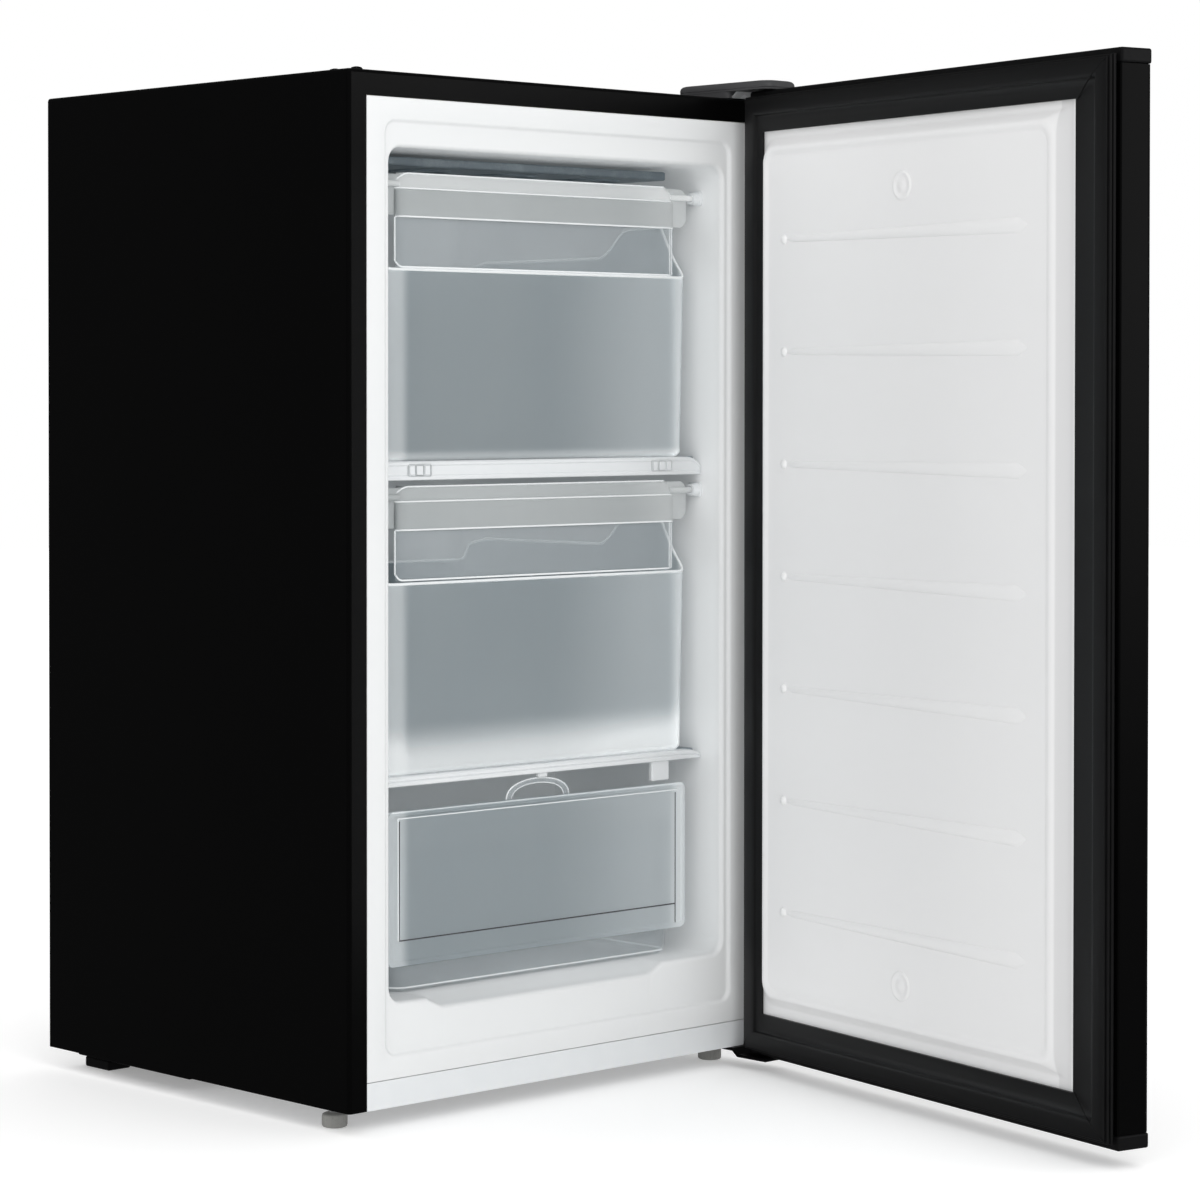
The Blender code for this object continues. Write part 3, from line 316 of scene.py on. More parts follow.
def frosted_basket(name, bottom, glow, strength):
    """Milky polypropylene, half see-through, with painted light: a lighter colour and a glow painted into
    its foot and its upright corners.
    """
    f = Finish(name)
    pebble = f.cells(1100.0)
    flow = f.noise(9.0, 4.0, 0.6, (1.0, 1.0, 0.35))
    across = f.spot("X") - MIDDLE
    up = f.spot("Z") - bottom
    # Painted light: lighter colour and emission at the left and right corners and at the foot, mostly taken
    # out on the side walls behind the front so they stay darker.
    left = f.rise(across, *GLOW_LEFT_CORNER)
    right = f.rise(across, 0.0, GLOW_RIGHT_CORNER[0]) * 0.30 + f.rise(across, *GLOW_RIGHT_CORNER) * 0.30
    foot = f.rise(up, glow, glow * 0.2)
    side = f.rise(f.spot("Y") - FRONT, *GLOW_BEHIND_FRONT)
    light = ((left * 0.45 + right + foot * strength) * (side * -0.8 + 1.0)).clamp()
    body = f.blend(flow, (0.60, 0.665, 0.70), (0.68, 0.735, 0.755))
    return f.shade(
        base_color=f.blend(light, body, (0.97, 0.98, 0.98)),
        roughness=flow * 0.10 + 0.42,
        transmission_weight=0.72,
        ior=1.18,
        specular_ior_level=0.4,
        emission_color=f.blend(light, DARK, (0.84, 0.87, 0.88)),
        emission_strength=0.20,
        normal=f.relief(pebble, 0.04, 0.0002),
    )


def glowing_edge():
    """The polished edge of a clear or milky moulding, with a painted highlight: a near-white colour and a
    glow of its own.
    """
    f = Finish("glowing_edge")
    drift = f.noise(60.0, 3.0)
    return f.shade(
        base_color=f.blend(drift, (0.86, 0.89, 0.90), (0.95, 0.96, 0.96)),
        roughness=drift * 0.1 + 0.18,
        transmission_weight=0.25,
        ior=1.3,
        emission_color=(0.92, 0.96, 0.97, 1.0),
        emission_strength=0.12,
        normal=f.relief(drift, 0.05, 0.0002),
    )


def frosted_flap(name, top, lift):
    """The flap's band: the same milky plastic, denser, with painted light: lighter and glowing above its
    step and towards its ends.
    """
    f = Finish(name)
    pebble = f.cells(1300.0)
    flow = f.noise(12.0, 4.0, 0.6, (1.0, 1.0, 0.35))
    step = top - BAND_STEP_DROP
    # Painted light: lighter colour and emission above the step, scaled by lift, and towards the band's
    # ends.
    upper = f.rise(f.spot("Z"), step - 0.0006, step + 0.0006)
    ends = f.rise(f.spot("X") - MIDDLE, 0.0900, 0.1750)
    light = (upper * lift + ends * 0.45).clamp()
    body = f.blend(flow, (0.58, 0.615, 0.62), (0.66, 0.69, 0.695))
    return f.shade(
        base_color=f.blend(light, body, (0.95, 0.96, 0.96)),
        roughness=flow * 0.10 + 0.36,
        transmission_weight=0.42,
        ior=1.18,
        specular_ior_level=0.4,
        emission_color=f.blend(light, DARK, (0.88, 0.90, 0.90)),
        emission_strength=0.10,
        normal=f.relief(pebble, 0.08, 0.0002),
    )


def clear_styrene():
    """Clear crystal styrene with light handling haze."""
    f = Finish("clear_styrene")
    haze = f.noise(9.0, 3.0, 0.5)
    wave = f.noise(11.0, 2.0)
    rub = f.noise(420.0, 3.0, 0.6, (0.15, 1.0, 1.0))
    return f.shade(
        base_color=f.blend(haze, (0.62, 0.68, 0.72), (0.70, 0.76, 0.79)),
        roughness=rub * 0.05 + 0.04,
        alpha=haze * 0.06 + 0.17,
        specular_ior_level=0.7,
        normal=f.relief(wave, 0.04, 0.0008),
    )


def cold_aluminium():
    """Roll-bonded aluminium sheet: brushed one way, with a cold blue cast."""
    f = Finish("cold_aluminium")
    brushed = f.noise(60.0, 5.0, 0.7, (0.08, 3.0, 1.0))
    frost = f.ramp(f.noise(55.0, 6.0, 0.75), (0.48, 0.0), (0.72, 1.0))
    colour = f.blend(brushed, (0.20, 0.245, 0.28), (0.30, 0.35, 0.38))
    return f.shade(
        base_color=f.blend(frost * 0.25, colour, (0.62, 0.67, 0.70)),
        metallic=frost * -0.3 + 0.45,
        roughness=brushed * 0.2 + 0.34,
        normal=f.relief(brushed, 0.12, 0.0002),
    )


def zinc_sheet():
    """Hot-dip galvanised sheet with its spangle and dull streaks."""
    f = Finish("zinc_sheet")
    spangle = f.cells(110.0, 1)
    streaks = f.noise(22.0, 5.0, 0.7, (1.0, 1.0, 0.2))
    shade = f.node("RGBToBW", {}, {0: spangle})
    colour = f.blend(shade, (0.36, 0.37, 0.38), (0.56, 0.57, 0.58))
    return f.shade(
        base_color=f.blend(streaks * 0.4, colour, (0.44, 0.44, 0.43)),
        metallic=0.35,
        roughness=shade * 0.16 + streaks * 0.15 + 0.30,
        normal=f.relief(shade, 0.05, 0.0002),
    )


def bright_screw():
    """Zinc-plated screw head with a faint yellow-blue passivation."""
    f = Finish("bright_screw")
    tint = f.noise(300.0, 3.0)
    return f.shade(
        base_color=f.blend(tint, (0.55, 0.57, 0.60), (0.66, 0.64, 0.56)),
        metallic=1.0,
        roughness=tint * 0.2 + 0.24,
    )


def grey_cover():
    """Dark grey moulded cover over the hinge, satin, slightly worn to a sheen."""
    f = Finish("grey_cover")
    grain = f.cells(1200.0)
    rub = f.noise(35.0, 4.0, 0.6)
    return f.shade(
        base_color=f.blend(rub, (0.052, 0.052, 0.055), (0.075, 0.075, 0.078)),
        roughness=rub * 0.15 + 0.33,
        specular_ior_level=0.4,
        normal=f.relief(grain, 0.12, 0.0002),
    )


def foot_grey():
    """Grey polypropylene foot, lightly scuffed."""
    f = Finish("foot_grey")
    scuff = f.ramp(f.noise(320.0, 6.0, 0.8), (0.5, 0.0), (0.75, 1.0))
    grain = f.cells(1600.0)
    return f.shade(
        base_color=f.blend(scuff * 0.5, (0.30, 0.30, 0.285), (0.20, 0.20, 0.19)),
        roughness=scuff * 0.2 + 0.42,
        normal=f.relief(grain, 0.15, 0.0002),
    )


def compressor_paint():
    """Thick glossy black dip paint on the compressor pot, with runs and dust."""
    f = Finish("compressor_paint")
    runs = f.noise(35.0, 3.0, 0.5, (1.0, 1.0, 0.3))
    dust = f.ramp(f.noise(48.0, 4.0, 0.6), (0.50, 0.0), (0.78, 1.0))
    return f.shade(
        base_color=f.blend(dust * 0.22, (0.010, 0.010, 0.011), (0.07, 0.067, 0.062)),
        roughness=dust * 0.22 + runs * 0.1 + 0.22,
        specular_ior_level=0.5,
        normal=f.relief(runs, 0.04, 0.0004),
    )


def copper_tube():
    """Drawn copper, tarnished brown in patches."""
    f = Finish("copper_tube")
    tarnish = f.noise(48.0, 5.0, 0.7)
    drawn = f.noise(500.0, 2.0, 0.5, (1.0, 1.0, 0.1))
    brown = f.ramp(tarnish, (0.35, 0.0), (0.70, 1.0))
    return f.shade(
        base_color=f.blend(brown, (0.80, 0.40, 0.25), (0.36, 0.17, 0.10)),
        metallic=1.0,
        roughness=tarnish * 0.25 + 0.18,
        normal=f.relief(drawn, 0.05, 0.0001),
    )


def cream_foam():
    """Foamed-in polyurethane, cream and finely porous."""
    f = Finish("cream_foam")
    pores = f.cells(420.0)
    drift = f.noise(14.0, 4.0)
    return f.shade(
        base_color=f.blend(drift, (0.74, 0.62, 0.34), (0.83, 0.73, 0.45)),
        roughness=0.9,
        normal=f.relief(pores, 0.5, 0.0010),
    )


ENAMEL = black_enamel()
MOULDING = black_moulding()
RUBBER = seal_rubber()
LINER = white_liner()
PANEL = door_panel_white()
TRIM = white_moulding()
# Three copies of one frosted plastic, which differ only in how much painted glow each has at its foot.
FROSTED_UPPER = frosted_basket("frosted_upper", UPPER_BASKET_FOOT, 0.010, 0.45)
FROSTED_MIDDLE = frosted_basket("frosted_middle", MIDDLE_BASKET_FOOT, 0.044, 0.85)
FROSTED_LOWER = frosted_basket("frosted_lower", DRAWER_FOOT, 0.010, 0.0)
PAINTED_EDGE_GLOW = glowing_edge()
# Two copies of one band plastic, which differ only in how much painted light lies above the step.
BAND_UPPER = frosted_flap("flap_band_upper", UPPER_FLAP_TOP, 0.55)
BAND = frosted_flap("flap_band_middle", MIDDLE_FLAP_TOP, 0.10)
CLEAR = clear_styrene()
ALUMINIUM = cold_aluminium()
ZINC = zinc_sheet()
SCREW = bright_screw()
COVER = grey_cover()
FOOT = foot_grey()
POT = compressor_paint()
COPPER = copper_tube()
FOAM = cream_foam()

NODE_FINISHES = (
    (ENAMEL, "outer_shell door_skin hinge_bracket_bottom compressor_platform"),
    (MOULDING, "door_cap_top door_cap_bottom compressor_terminal_cover drip_tray foot_rear_left"
               " foot_rear_right hole_plug_front hole_plug_rear hinge_bush_top hinge_bush_bottom"),
    (RUBBER, "door_gasket grommet_front_left grommet_front_right grommet_rear_left grommet_rear_right"),
    (LINER, "inner_liner floor_ramp"),
    (PANEL, "door_liner"),
    (TRIM, "kick_strip shelf_trim_upper shelf_trim_lower flap_bracket_upper_left"
           " flap_bracket_upper_right flap_bracket_middle_left flap_bracket_middle_right"),
    (BAND_UPPER, "flap_upper_band"),
    (BAND, "flap_middle_band"),
    (CLEAR, "flap_upper_window flap_middle_window basket_lower"),
    (FROSTED_UPPER, "basket_upper"),
    (FROSTED_MIDDLE, "basket_middle"),
    (FROSTED_LOWER, "basket_lower_front"),
    (ALUMINIUM, "evaporator_top evaporator_upper evaporator_lower"),
    (ZINC, "back_panel base_plate compressor_bay_panel foot_nut_left foot_nut_right hinge_plate_top"),
    (SCREW, "hinge_screw_front hinge_screw_rear"),
    (COVER, "hinge_cover thermostat_housing thermostat_dial"),
    (FOOT, "foot_front_left foot_front_right"),
    (POT, "compressor_body"),
    (COPPER, "filter_drier discharge_pipe suction_pipe"),
    (FOAM, "foam_insulation door_foam"),
)
for finish, names in NODE_FINISHES:
    for name in names.split():
        NODES[name].data.materials.clear()
        NODES[name].data.materials.append(finish)


# ---------------------------------------------------------------- shaping tools


def placed(name, data):
    """A new object in the scene."""
    made = bpy.data.objects.new(name, data)
    bpy.context.scene.collection.objects.link(made)
    return made


def piece(name, skin, finish, body, replaces=(), crease=35.0):
    """A shaped piece from its points and faces, put in its place and riding on a body."""
    points, faces = skin
    mesh = bpy.data.meshes.new(name)
    mesh.from_pydata([tuple(p) for p in points], [], faces)
    tidy = bmesh.new()
    tidy.from_mesh(mesh)
    bmesh.ops.remove_doubles(tidy, verts=tidy.verts, dist=1e-6)
    bmesh.ops.recalc_face_normals(tidy, faces=tidy.faces)
    for face in tidy.faces:
        face.smooth = True
    tidy.to_mesh(mesh)
    tidy.free()
    mesh.set_sharp_from_angle(angle=math.radians(crease))
    mesh.transform(IN_DOOR if body == "door" else IN_CABINET)
    mesh.materials.append(finish)
    made = placed(name, mesh)
    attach(made, body)
    if replaces:
        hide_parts(*replaces)
    return made


def circle(count):
    """Cosine and sine at even steps round a circle."""
    turns = [2 * math.pi * k / count for k in range(count)]
    return [(math.cos(turn), math.sin(turn)) for turn in turns]


def rounded(x0, x1, z0, z1, r, steps=6):
    """Corner points of a rounded rectangle, from the low right corner round to the low left one."""
    points = []
    corners = (
        (x1 - r, z0 + r, -90), (x1 - r, z1 - r, 0), (x0 + r, z1 - r, 90), (x0 + r, z0 + r, 180),
    )
    for cx, cz, start in corners:
        for step in range(steps + 1):
            angle = math.radians(start + 90 * step / steps)
            points.append((cx + r * math.cos(angle), cz + r * math.sin(angle)))
    return points


def upright(y, outline):
    """A ring that stands across the freezer at this depth."""
    return [(x, y, z) for x, z in outline]


def level(z, outline):
    """A ring that lies flat at this height."""
    return [(x, y, z) for x, y in outline]


def loft(rings, cap_first=False, cap_last=False, closed=False):
    """Points and faces of a skin over rings that each have the same number of points."""
    count = len(rings[0])
    points = [p for ring in rings for p in ring]
    faces = []
    spans = len(rings) if closed else len(rings) - 1
    for i in range(spans):
        a, b = i * count, (i + 1) % len(rings) * count
        for k in range(count):
            n = (k + 1) % count
            faces.append((a + k, a + n, b + n, b + k))
    if cap_first:
        faces.append(tuple(range(count)))
    if cap_last:
        faces.append(tuple((len(rings) - 1) * count + k for k in range(count)))
    return points, faces


def sheet(rows):
    """Points and faces of an open grid."""
    wide = len(rows[0])
    points = [p for row in rows for p in row]
    faces = []
    for i in range(len(rows) - 1):
        for k in range(wide - 1):
            a = i * wide + k
            faces.append((a, a + 1, a + wide + 1, a + wide))
    return points, faces


def tube(path, radius, sides=10, closed=False):
    """Points and faces of a round bar along a path, which may have a radius at each point."""
    path = [Vector(p) for p in path]
    last = len(path) - 1
    rings = []
    across = None
    for i, spot in enumerate(path):
        before = path[i - 1] if i or closed else path[i]
        after = path[(i + 1) % len(path)] if i < last or closed else path[i]
        along = (after - before).normalized()
        if across is None:
            across = along.orthogonal().normalized()
        across = (across - along * across.dot(along)).normalized()
        side = along.cross(across)
        r = radius[i] if isinstance(radius, (list, tuple)) else radius
        rings.append([spot + across * (r * c) + side * (r * s) for c, s in circle(sides)])
    return loft(rings, not closed, not closed, closed)


def joined(*skins):
    """Several lots of points and faces as one."""
    points, faces = [], []
    for some_points, some_faces in skins:
        start = len(points)
        points += list(some_points)
        faces += [tuple(start + k for k in face) for face in some_faces]
    return points, faces


def soften(path, reach, steps=5):
    """The path with each corner rounded off."""
    path = [Vector(p) for p in path]
    result = [path[0]]
    for before, corner, after in zip(path, path[1:], path[2:]):
        near, far = (
            corner + (end - corner).normalized() * min(reach, (end - corner).length * 0.49)
            for end in (before, after)
        )
        for step in range(steps + 1):
            t = step / steps
            result.append(near * (1 - t) ** 2 + corner * (2 * t * (1 - t)) + far * t ** 2)
    result.append(path[-1])
    return result


def thicken(made, depth, offset=0.0):
    """Gives an open skin its wall thickness."""
    solid = made.modifiers.new("thickness", "SOLIDIFY")
    solid.thickness = depth
    solid.offset = offset
    solid.use_even_offset = True


def smooth_step(value):
    """0 to 1 with a soft start and end."""
    value = min(max(value, 0.0), 1.0)
    return value * value * (3 - 2 * value)


def side_tag(side):
    return "left" if side < 0 else "right"


# ---------------------------------------------------------------- cabinet liner


# Across the floor of the mouth: where the drain recess starts and ends, and its share of depth there.
DIP_MARKS = (-0.1505, -0.1490, -0.1360, -0.1320, 0.1000, 0.1040, 0.1170, 0.1185)
DIP_SHARES = (0.0, 0.15, 0.9, 1.0, 1.0, 0.9, 0.15, 0.0)
LINER_CORNER_STEPS = 7

# Front flange: depth, half width, foot, top, corner.
FLANGE = (
    (0.0058, 0.2172, 0.0403, 0.8207, 0.001),
    (0.0009, 0.2172, 0.0403, 0.8207, 0.001),
    (0.0002, 0.2168, 0.0407, 0.8203, 0.001),
    (0.0000, 0.2160, 0.0415, 0.8195, 0.001),
    (0.0000, 0.1992, 0.0563, 0.8047, 0.012),
    (0.0003, 0.1980, 0.0575, 0.8035, 0.011),
    (0.0010, 0.1971, 0.0584, 0.8026, 0.011),
    (0.0020, 0.1964, 0.0591, 0.8019, 0.010),
    (0.0027, 0.1956, 0.0599, 0.8011, 0.010),
    (0.0030, 0.1945, 0.0610, 0.8000, 0.009),
)
# Mouth: depth, how far it stands outside the mouth, corner, depth of the drain recess.
MOUTH = (
    (0.0030, 0.0036, 0.0150, 0.0070),
    (0.0032, 0.0026, 0.0145, 0.0078),
    (0.0038, 0.0016, 0.0140, 0.0080),
    (0.0048, 0.0008, 0.0130, 0.0080),
    (0.0062, 0.0002, 0.0125, 0.0080),
    (0.0080, 0.0, 0.0120, 0.0078),
    (0.0180, 0.0, 0.0120, 0.0055),
    (0.0300, 0.0, 0.0120, 0.0022),
    (0.0380, 0.0, 0.0120, 0.0004),
    (0.0420, 0.0, 0.0120, 0.0),
)
# Over the compressor bay: depth, floor, inset, corner.
BAY_FLOOR = 0.2560
BAY = (
    (0.2000, MOUTH_BOTTOM, 0.0, 0.012),
    (0.2065, MOUTH_BOTTOM + 0.0015, 0.0, 0.012),
    (0.2105, MOUTH_BOTTOM + 0.0055, 0.0, 0.012),
    (0.2120, MOUTH_BOTTOM + 0.0120, 0.0, 0.012),
    (0.2122, 0.2440, 0.0, 0.012),
    (0.2140, 0.2510, 0.0, 0.012),
    (0.2180, 0.2548, 0.0, 0.012),
    (0.2240, BAY_FLOOR, 0.0, 0.012),
    (0.3330, BAY_FLOOR, 0.0, 0.012),
    (0.3395, BAY_FLOOR, 0.0016, 0.012),
    (0.3434, BAY_FLOOR, 0.0055, 0.010),
    (0.3450, BAY_FLOOR, 0.0120, 0.008),
)


def liner_ring(y, half, low, high, r, dip=0.0):
    """A ring of the liner; dip lowers the middle of its floor for the drain recess."""
    ring = upright(y, rounded(-half, half, low, high, r, LINER_CORNER_STEPS))
    return ring + [(x, y, low - dip * share) for x, share in zip(DIP_MARKS, DIP_SHARES)]


def make_liner():
    """Vacuum-formed tub: front flange, shallow step, rolled mouth and the step over the bay."""
    rings = [liner_ring(*row) for row in FLANGE]
    for y, out, r, dip in MOUTH:
        rings.append(liner_ring(y, MOUTH_HALF + out, MOUTH_BOTTOM - out, MOUTH_TOP + out, r, dip))
    for y, low, inset, r in BAY:
        rings.append(liner_ring(y, MOUTH_HALF - inset, low + inset, MOUTH_TOP - inset, r))
    piece("liner_tub", loft(rings, False, True), LINER, "cabinet",
          ("inner_liner", "floor_ramp"), 40.0)


# ---------------------------------------------------------------- cold plates and trims


CHANNEL_LANES = 7
CHANNEL_SIDE = 0.030
CHANNEL_END = 0.022
LOWER_TRIM_TALL = 0.0080


def make_cold_plates():
    """The refrigerant channel pressed into each aluminium plate, which winds to and fro."""
    for name in ("evaporator_top", "evaporator_upper", "evaporator_lower"):
        low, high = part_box(name)
        half = (high.x - low.x) / 2
        path = []
        for lane in range(CHANNEL_LANES):
            x = -half + CHANNEL_SIDE + (2 * half - 2 * CHANNEL_SIDE) * lane / (CHANNEL_LANES - 1)
            ends = [low.y - FRONT + CHANNEL_END, high.y - FRONT - CHANNEL_END]
            if lane % 2:
                ends.reverse()
            path += [(x, y, low.z + 0.0004) for y in ends]
        piece(f"{name}_channel", tube(soften(path, 0.014), 0.0022, 8), ALUMINIUM, "cabinet")


def make_trims():
    """White front trims with a rolled lip and a rounded right end."""
    for name in ("upper", "lower"):
        low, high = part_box(f"shelf_trim_{name}")
        half, y0, y1 = (high.x - low.x) / 2, low.y - FRONT, high.y - FRONT
        z1 = high.z
        z0 = low.z if name == "upper" else z1 - LOWER_TRIM_TALL
        section = (
            (y1, z0), (y0 + 0.0016, z0), (y0 + 0.0004, z0 + 0.0006), (y0, z0 + 0.0018),
            (y0 + 0.0002, z0 + 0.0034), (y0 + 0.0012, z0 + 0.0042), (y0 + 0.0012, z1 - 0.0040),
            (y0 + 0.0002, z1 - 0.0030), (y0 + 0.0002, z1 - 0.0014), (y0 + 0.0012, z1 - 0.0003),
            (y0 + 0.0028, z1), (y1, z1),
        )
        ends = [(-half, 0.80), (-half + 0.001, 0.93), (-half + 0.003, 1.0), (half - 0.017, 1.0)]
        for k in range(1, 8):
            angle = math.radians(90 * k / 8)
            ends.append((half - 0.017 + 0.0165 * math.sin(angle), 0.30 + 0.70 * math.cos(angle)))
        rings = [[(x, y, z0 + (z - z0) * share) for y, z in section] for x, share in ends]
        piece(f"trim_{name}", loft(rings, True, True), TRIM, "cabinet",
              (f"shelf_trim_{name}",))
        if name == "upper":
            tall = z1 - z0
            make_clips(y0, z0 + tall * 0.20, z1 - tall * 0.16)
        else:
            make_shelf_rest(y0, z0)


def make_clips(y, low, high):
    """Two snap clips let into the upper trim, each with three raised pads between its edges."""
    for index, x in enumerate((-0.150, 0.128), 1):
        edges = joined(
            tube(upright(y + 0.0004, rounded(x, x + 0.0245, low, high, 0.0016, 3)), 0.00045, 6, True),
            tube(upright(y + 0.0005, rounded(x + 0.0080, x + 0.0165, low + 0.0006, high - 0.0006,
                                             0.0008, 3)), 0.00035, 6, True),
        )
        piece(f"trim_upper_clip_{index}", edges, BAND, "cabinet")
        pads = []
        for start, end in ((0.0090, 0.0155), (0.0016, 0.0066), (0.0179, 0.0229)):
            pad = rounded(x + start, x + end, low + 0.0014, high - 0.0014, 0.0006, 3)
            pads.append(loft([upright(y + 0.0014, pad), upright(y + 0.0001, pad)], False, True))
        piece(f"trim_upper_pads_{index}", joined(*pads), TRIM, "cabinet")


def make_shelf_rest(y0, under):
    """Under the lower trim: a rest block near the right end and a small stop tab in the middle."""
    parts = []
    for x0, x1, z0, deep in ((0.1310, 0.1520, 0.2518, 0.0034), (-0.0030, 0.0075, 0.2650, 0.0030)):
        rings = []
        for inset, y in ((0.0008, 0.0), (0.0, 0.0008), (0.0, deep)):
            outline = rounded(x0 + inset, x1 - inset, z0 + inset, under + 0.0010, 0.0012, 3)
            rings.append(upright(y0 + 0.0030 + y, outline))
        parts.append(loft(rings, True, True))
    piece("lower_shelf_rest", joined(*parts), TRIM, "cabinet")


# ---------------------------------------------------------------- flaps


# The band's face: distance under its top edge, and how far back it lies there.
BAND_SECTION = (
    (0.0, 0.0046), (0.0006, 0.0036), (0.0016, 0.0030), (0.0034, 0.0026), (0.0060, 0.0024),
    (0.0090, 0.0023), (0.0118, 0.0022), (0.0128, 0.0018), (0.0136, 0.0008), (0.0150, 0.0004),
    (0.0200, 0.0003), (0.0280, 0.0002), (0.0340, 0.0002), (0.0352, 0.0004), (0.0360, 0.0012),
)
BAND_CORNER = 0.012
BAND_CURL = 0.75
SKIRT_TALL = 0.0402
SKIRT_DROPS = (0.0, 0.004, 0.012, 0.020, 0.030, 0.036, 0.0385, 0.0398, SKIRT_TALL)
SKIRT_CURL = (0.010, 0.004)
PIN_BACK = 0.0335
PIN_DROP = 0.009


def flap_half(drop, radius):
    """How far the flap reaches to each side at this distance under its top edge."""
    if drop >= radius:
        return FLAP_HALF
    gap = radius - drop
    return FLAP_HALF - radius + math.sqrt(max(radius * radius - gap * gap, 0.0))


def flap_places(half, ends=0.012):
    """Places across a flap, closer together where the ends turn back."""
    places = [-half + ends * k / 6 for k in range(7)]
    middle = [-half + ends + (2 * half - 2 * ends) * k / 8 for k in range(1, 8)]
    return places + middle + [-p for p in reversed(places)]


def turn_back(x, half, reach=0.012, depth=0.007):
    """How far the flap's end curls towards the back at this place."""
    past = max(abs(x) - (half - reach), 0.0) / reach
    return depth * (1 - math.sqrt(max(1 - past * past, 0.0))) if past < 1 else depth


def make_flap(name, top, body, finish):
    """Milky band with a tilted upper strip and curled ends, and a clear skirt under it."""
    rows = []
    for drop, back in BAND_SECTION:
        half = flap_half(drop + 0.0012, BAND_CORNER)
        curl = BAND_CURL if drop > BAND_CORNER else 1.0
        rows.append([(x, FLAP_FRONT + back + turn_back(x, half) * curl, top - drop)
                     for x in flap_places(half)])
    band = piece(f"{name}_flap_band", sheet(rows), finish, body,
                 (f"flap_{name}_band",), 50.0)
    thicken(band, 0.0022, 1.0 if band.data.polygons[0].normal.y > 0 else -1.0)
    low = top - FLAP_BAND
    rows = []
    for drop in SKIRT_DROPS:
        row = []
        for x in flap_places(FLAP_HALF - 0.0004):
            back = 0.0022 + turn_back(x, FLAP_HALF, *SKIRT_CURL) + max(drop - 0.038, 0.0) * 0.5
            row.append((x, FLAP_FRONT + back, low - 0.0003 - drop))
        rows.append(row)
    skirt = piece(f"{name}_flap_skirt", sheet(rows), CLEAR, body,
                  (f"flap_{name}_window",), 50.0)
    thicken(skirt, 0.0018)
    make_flap_lines(name, top, body)
    for side in (-1, 1):
        make_flap_end(name, side, top, body, finish)


def make_flap_end(name, side, top, body, finish):
    """The pin at one end of a flap, and the milky ear in front of it."""
    low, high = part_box(f"flap_{name}_band")
    reach = (high.x - low.x) / 2
    z = top - PIN_DROP
    arm = [(side * x, PIN_BACK, z) for x in (FLAP_HALF - 0.004, reach - 0.0006, reach)]
    piece(f"{name}_flap_pin_{side_tag(side)}", tube(arm, [0.0025, 0.0025, 0.0019], 16), finish, body)
    inside, outside = sorted((side * (FLAP_HALF - 0.0130), side * (FLAP_HALF + 0.0205)))
    ear = rounded(inside, outside, top - 0.0345, top - 0.0014, 0.0085, 6)
    rings = []
    for inset, y in ((0.0006, 0.0), (0.0, 0.0005), (0.0, 0.0014), (0.0006, 0.0019)):
        ring = []
        for px, pz in ear:
            px -= math.copysign(inset, px - (inside + outside) / 2)
            pz -= math.copysign(inset, pz - top + 0.018)
            bend = smooth_step((abs(px) - FLAP_HALF + 0.003) / 0.012) * 0.0030
            ring.append((px, FLAP_FRONT + 0.0052 + bend + y, pz))
        rings.append(ring)
    piece(f"{name}_flap_ear_{side_tag(side)}", loft(rings, True, True), BAND, body)


def make_flap_lines(name, top, body):
    """The polished edges of the flap, drawn as fine lines with a painted highlight."""
    low = top - FLAP_BAND
    foot = low - SKIRT_TALL
    half = FLAP_HALF - 0.0006
    y = FLAP_FRONT + 0.0020
    corner = 0.0050
    places = flap_places(half)
    path = [(-half, y + 0.0040, low), (-half, y + 0.0040, foot + corner)]
    for k in range(1, 6):
        angle = math.radians(90 * k / 5)
        x = -half + corner * (1 - math.cos(angle))
        path.append((x, y + turn_back(x, FLAP_HALF, *SKIRT_CURL), foot + corner * (1 - math.sin(angle))))
    path += [(x, y + turn_back(x, FLAP_HALF, *SKIRT_CURL), foot) for x in places[4:-4]]
    path += [(half, y + 0.0040, foot), (half, y + 0.0040, low)]
    second = [(half - 0.0042, y + 0.0020, foot), (half - 0.0042, y + 0.0020, low)]
    lines = [tube(path, 0.0008, 8), tube(second, 0.0005, 6)]
    for drop, back, size in ((BAND_STEP_DROP, 0.0014, 0.0007), (0.0356, 0.0004, 0.0008)):
        line = [(x, FLAP_FRONT + back + turn_back(x, half) * BAND_CURL, top - drop) for x in places]
        lines.append(tube(line, size, 6))
    outline = []
    for k in range(7):
        angle = math.radians(90 * k / 6)
        x = -half + BAND_CORNER * (1 - math.cos(angle))
        z = top - 0.0124 + 0.0118 * math.sin(angle)
        outline.append((x, FLAP_FRONT + 0.0036 + turn_back(x, half), z))
    for k in range(1, 9):
        x = -half + BAND_CORNER + (2 * half - 2 * BAND_CORNER) * k / 8
        outline.append((x, FLAP_FRONT + 0.0036, top - 0.0006))
    lines.append(tube(outline, 0.0007, 6))
    piece(f"{name}_flap_lines", joined(*lines), PAINTED_EDGE_GLOW, body)


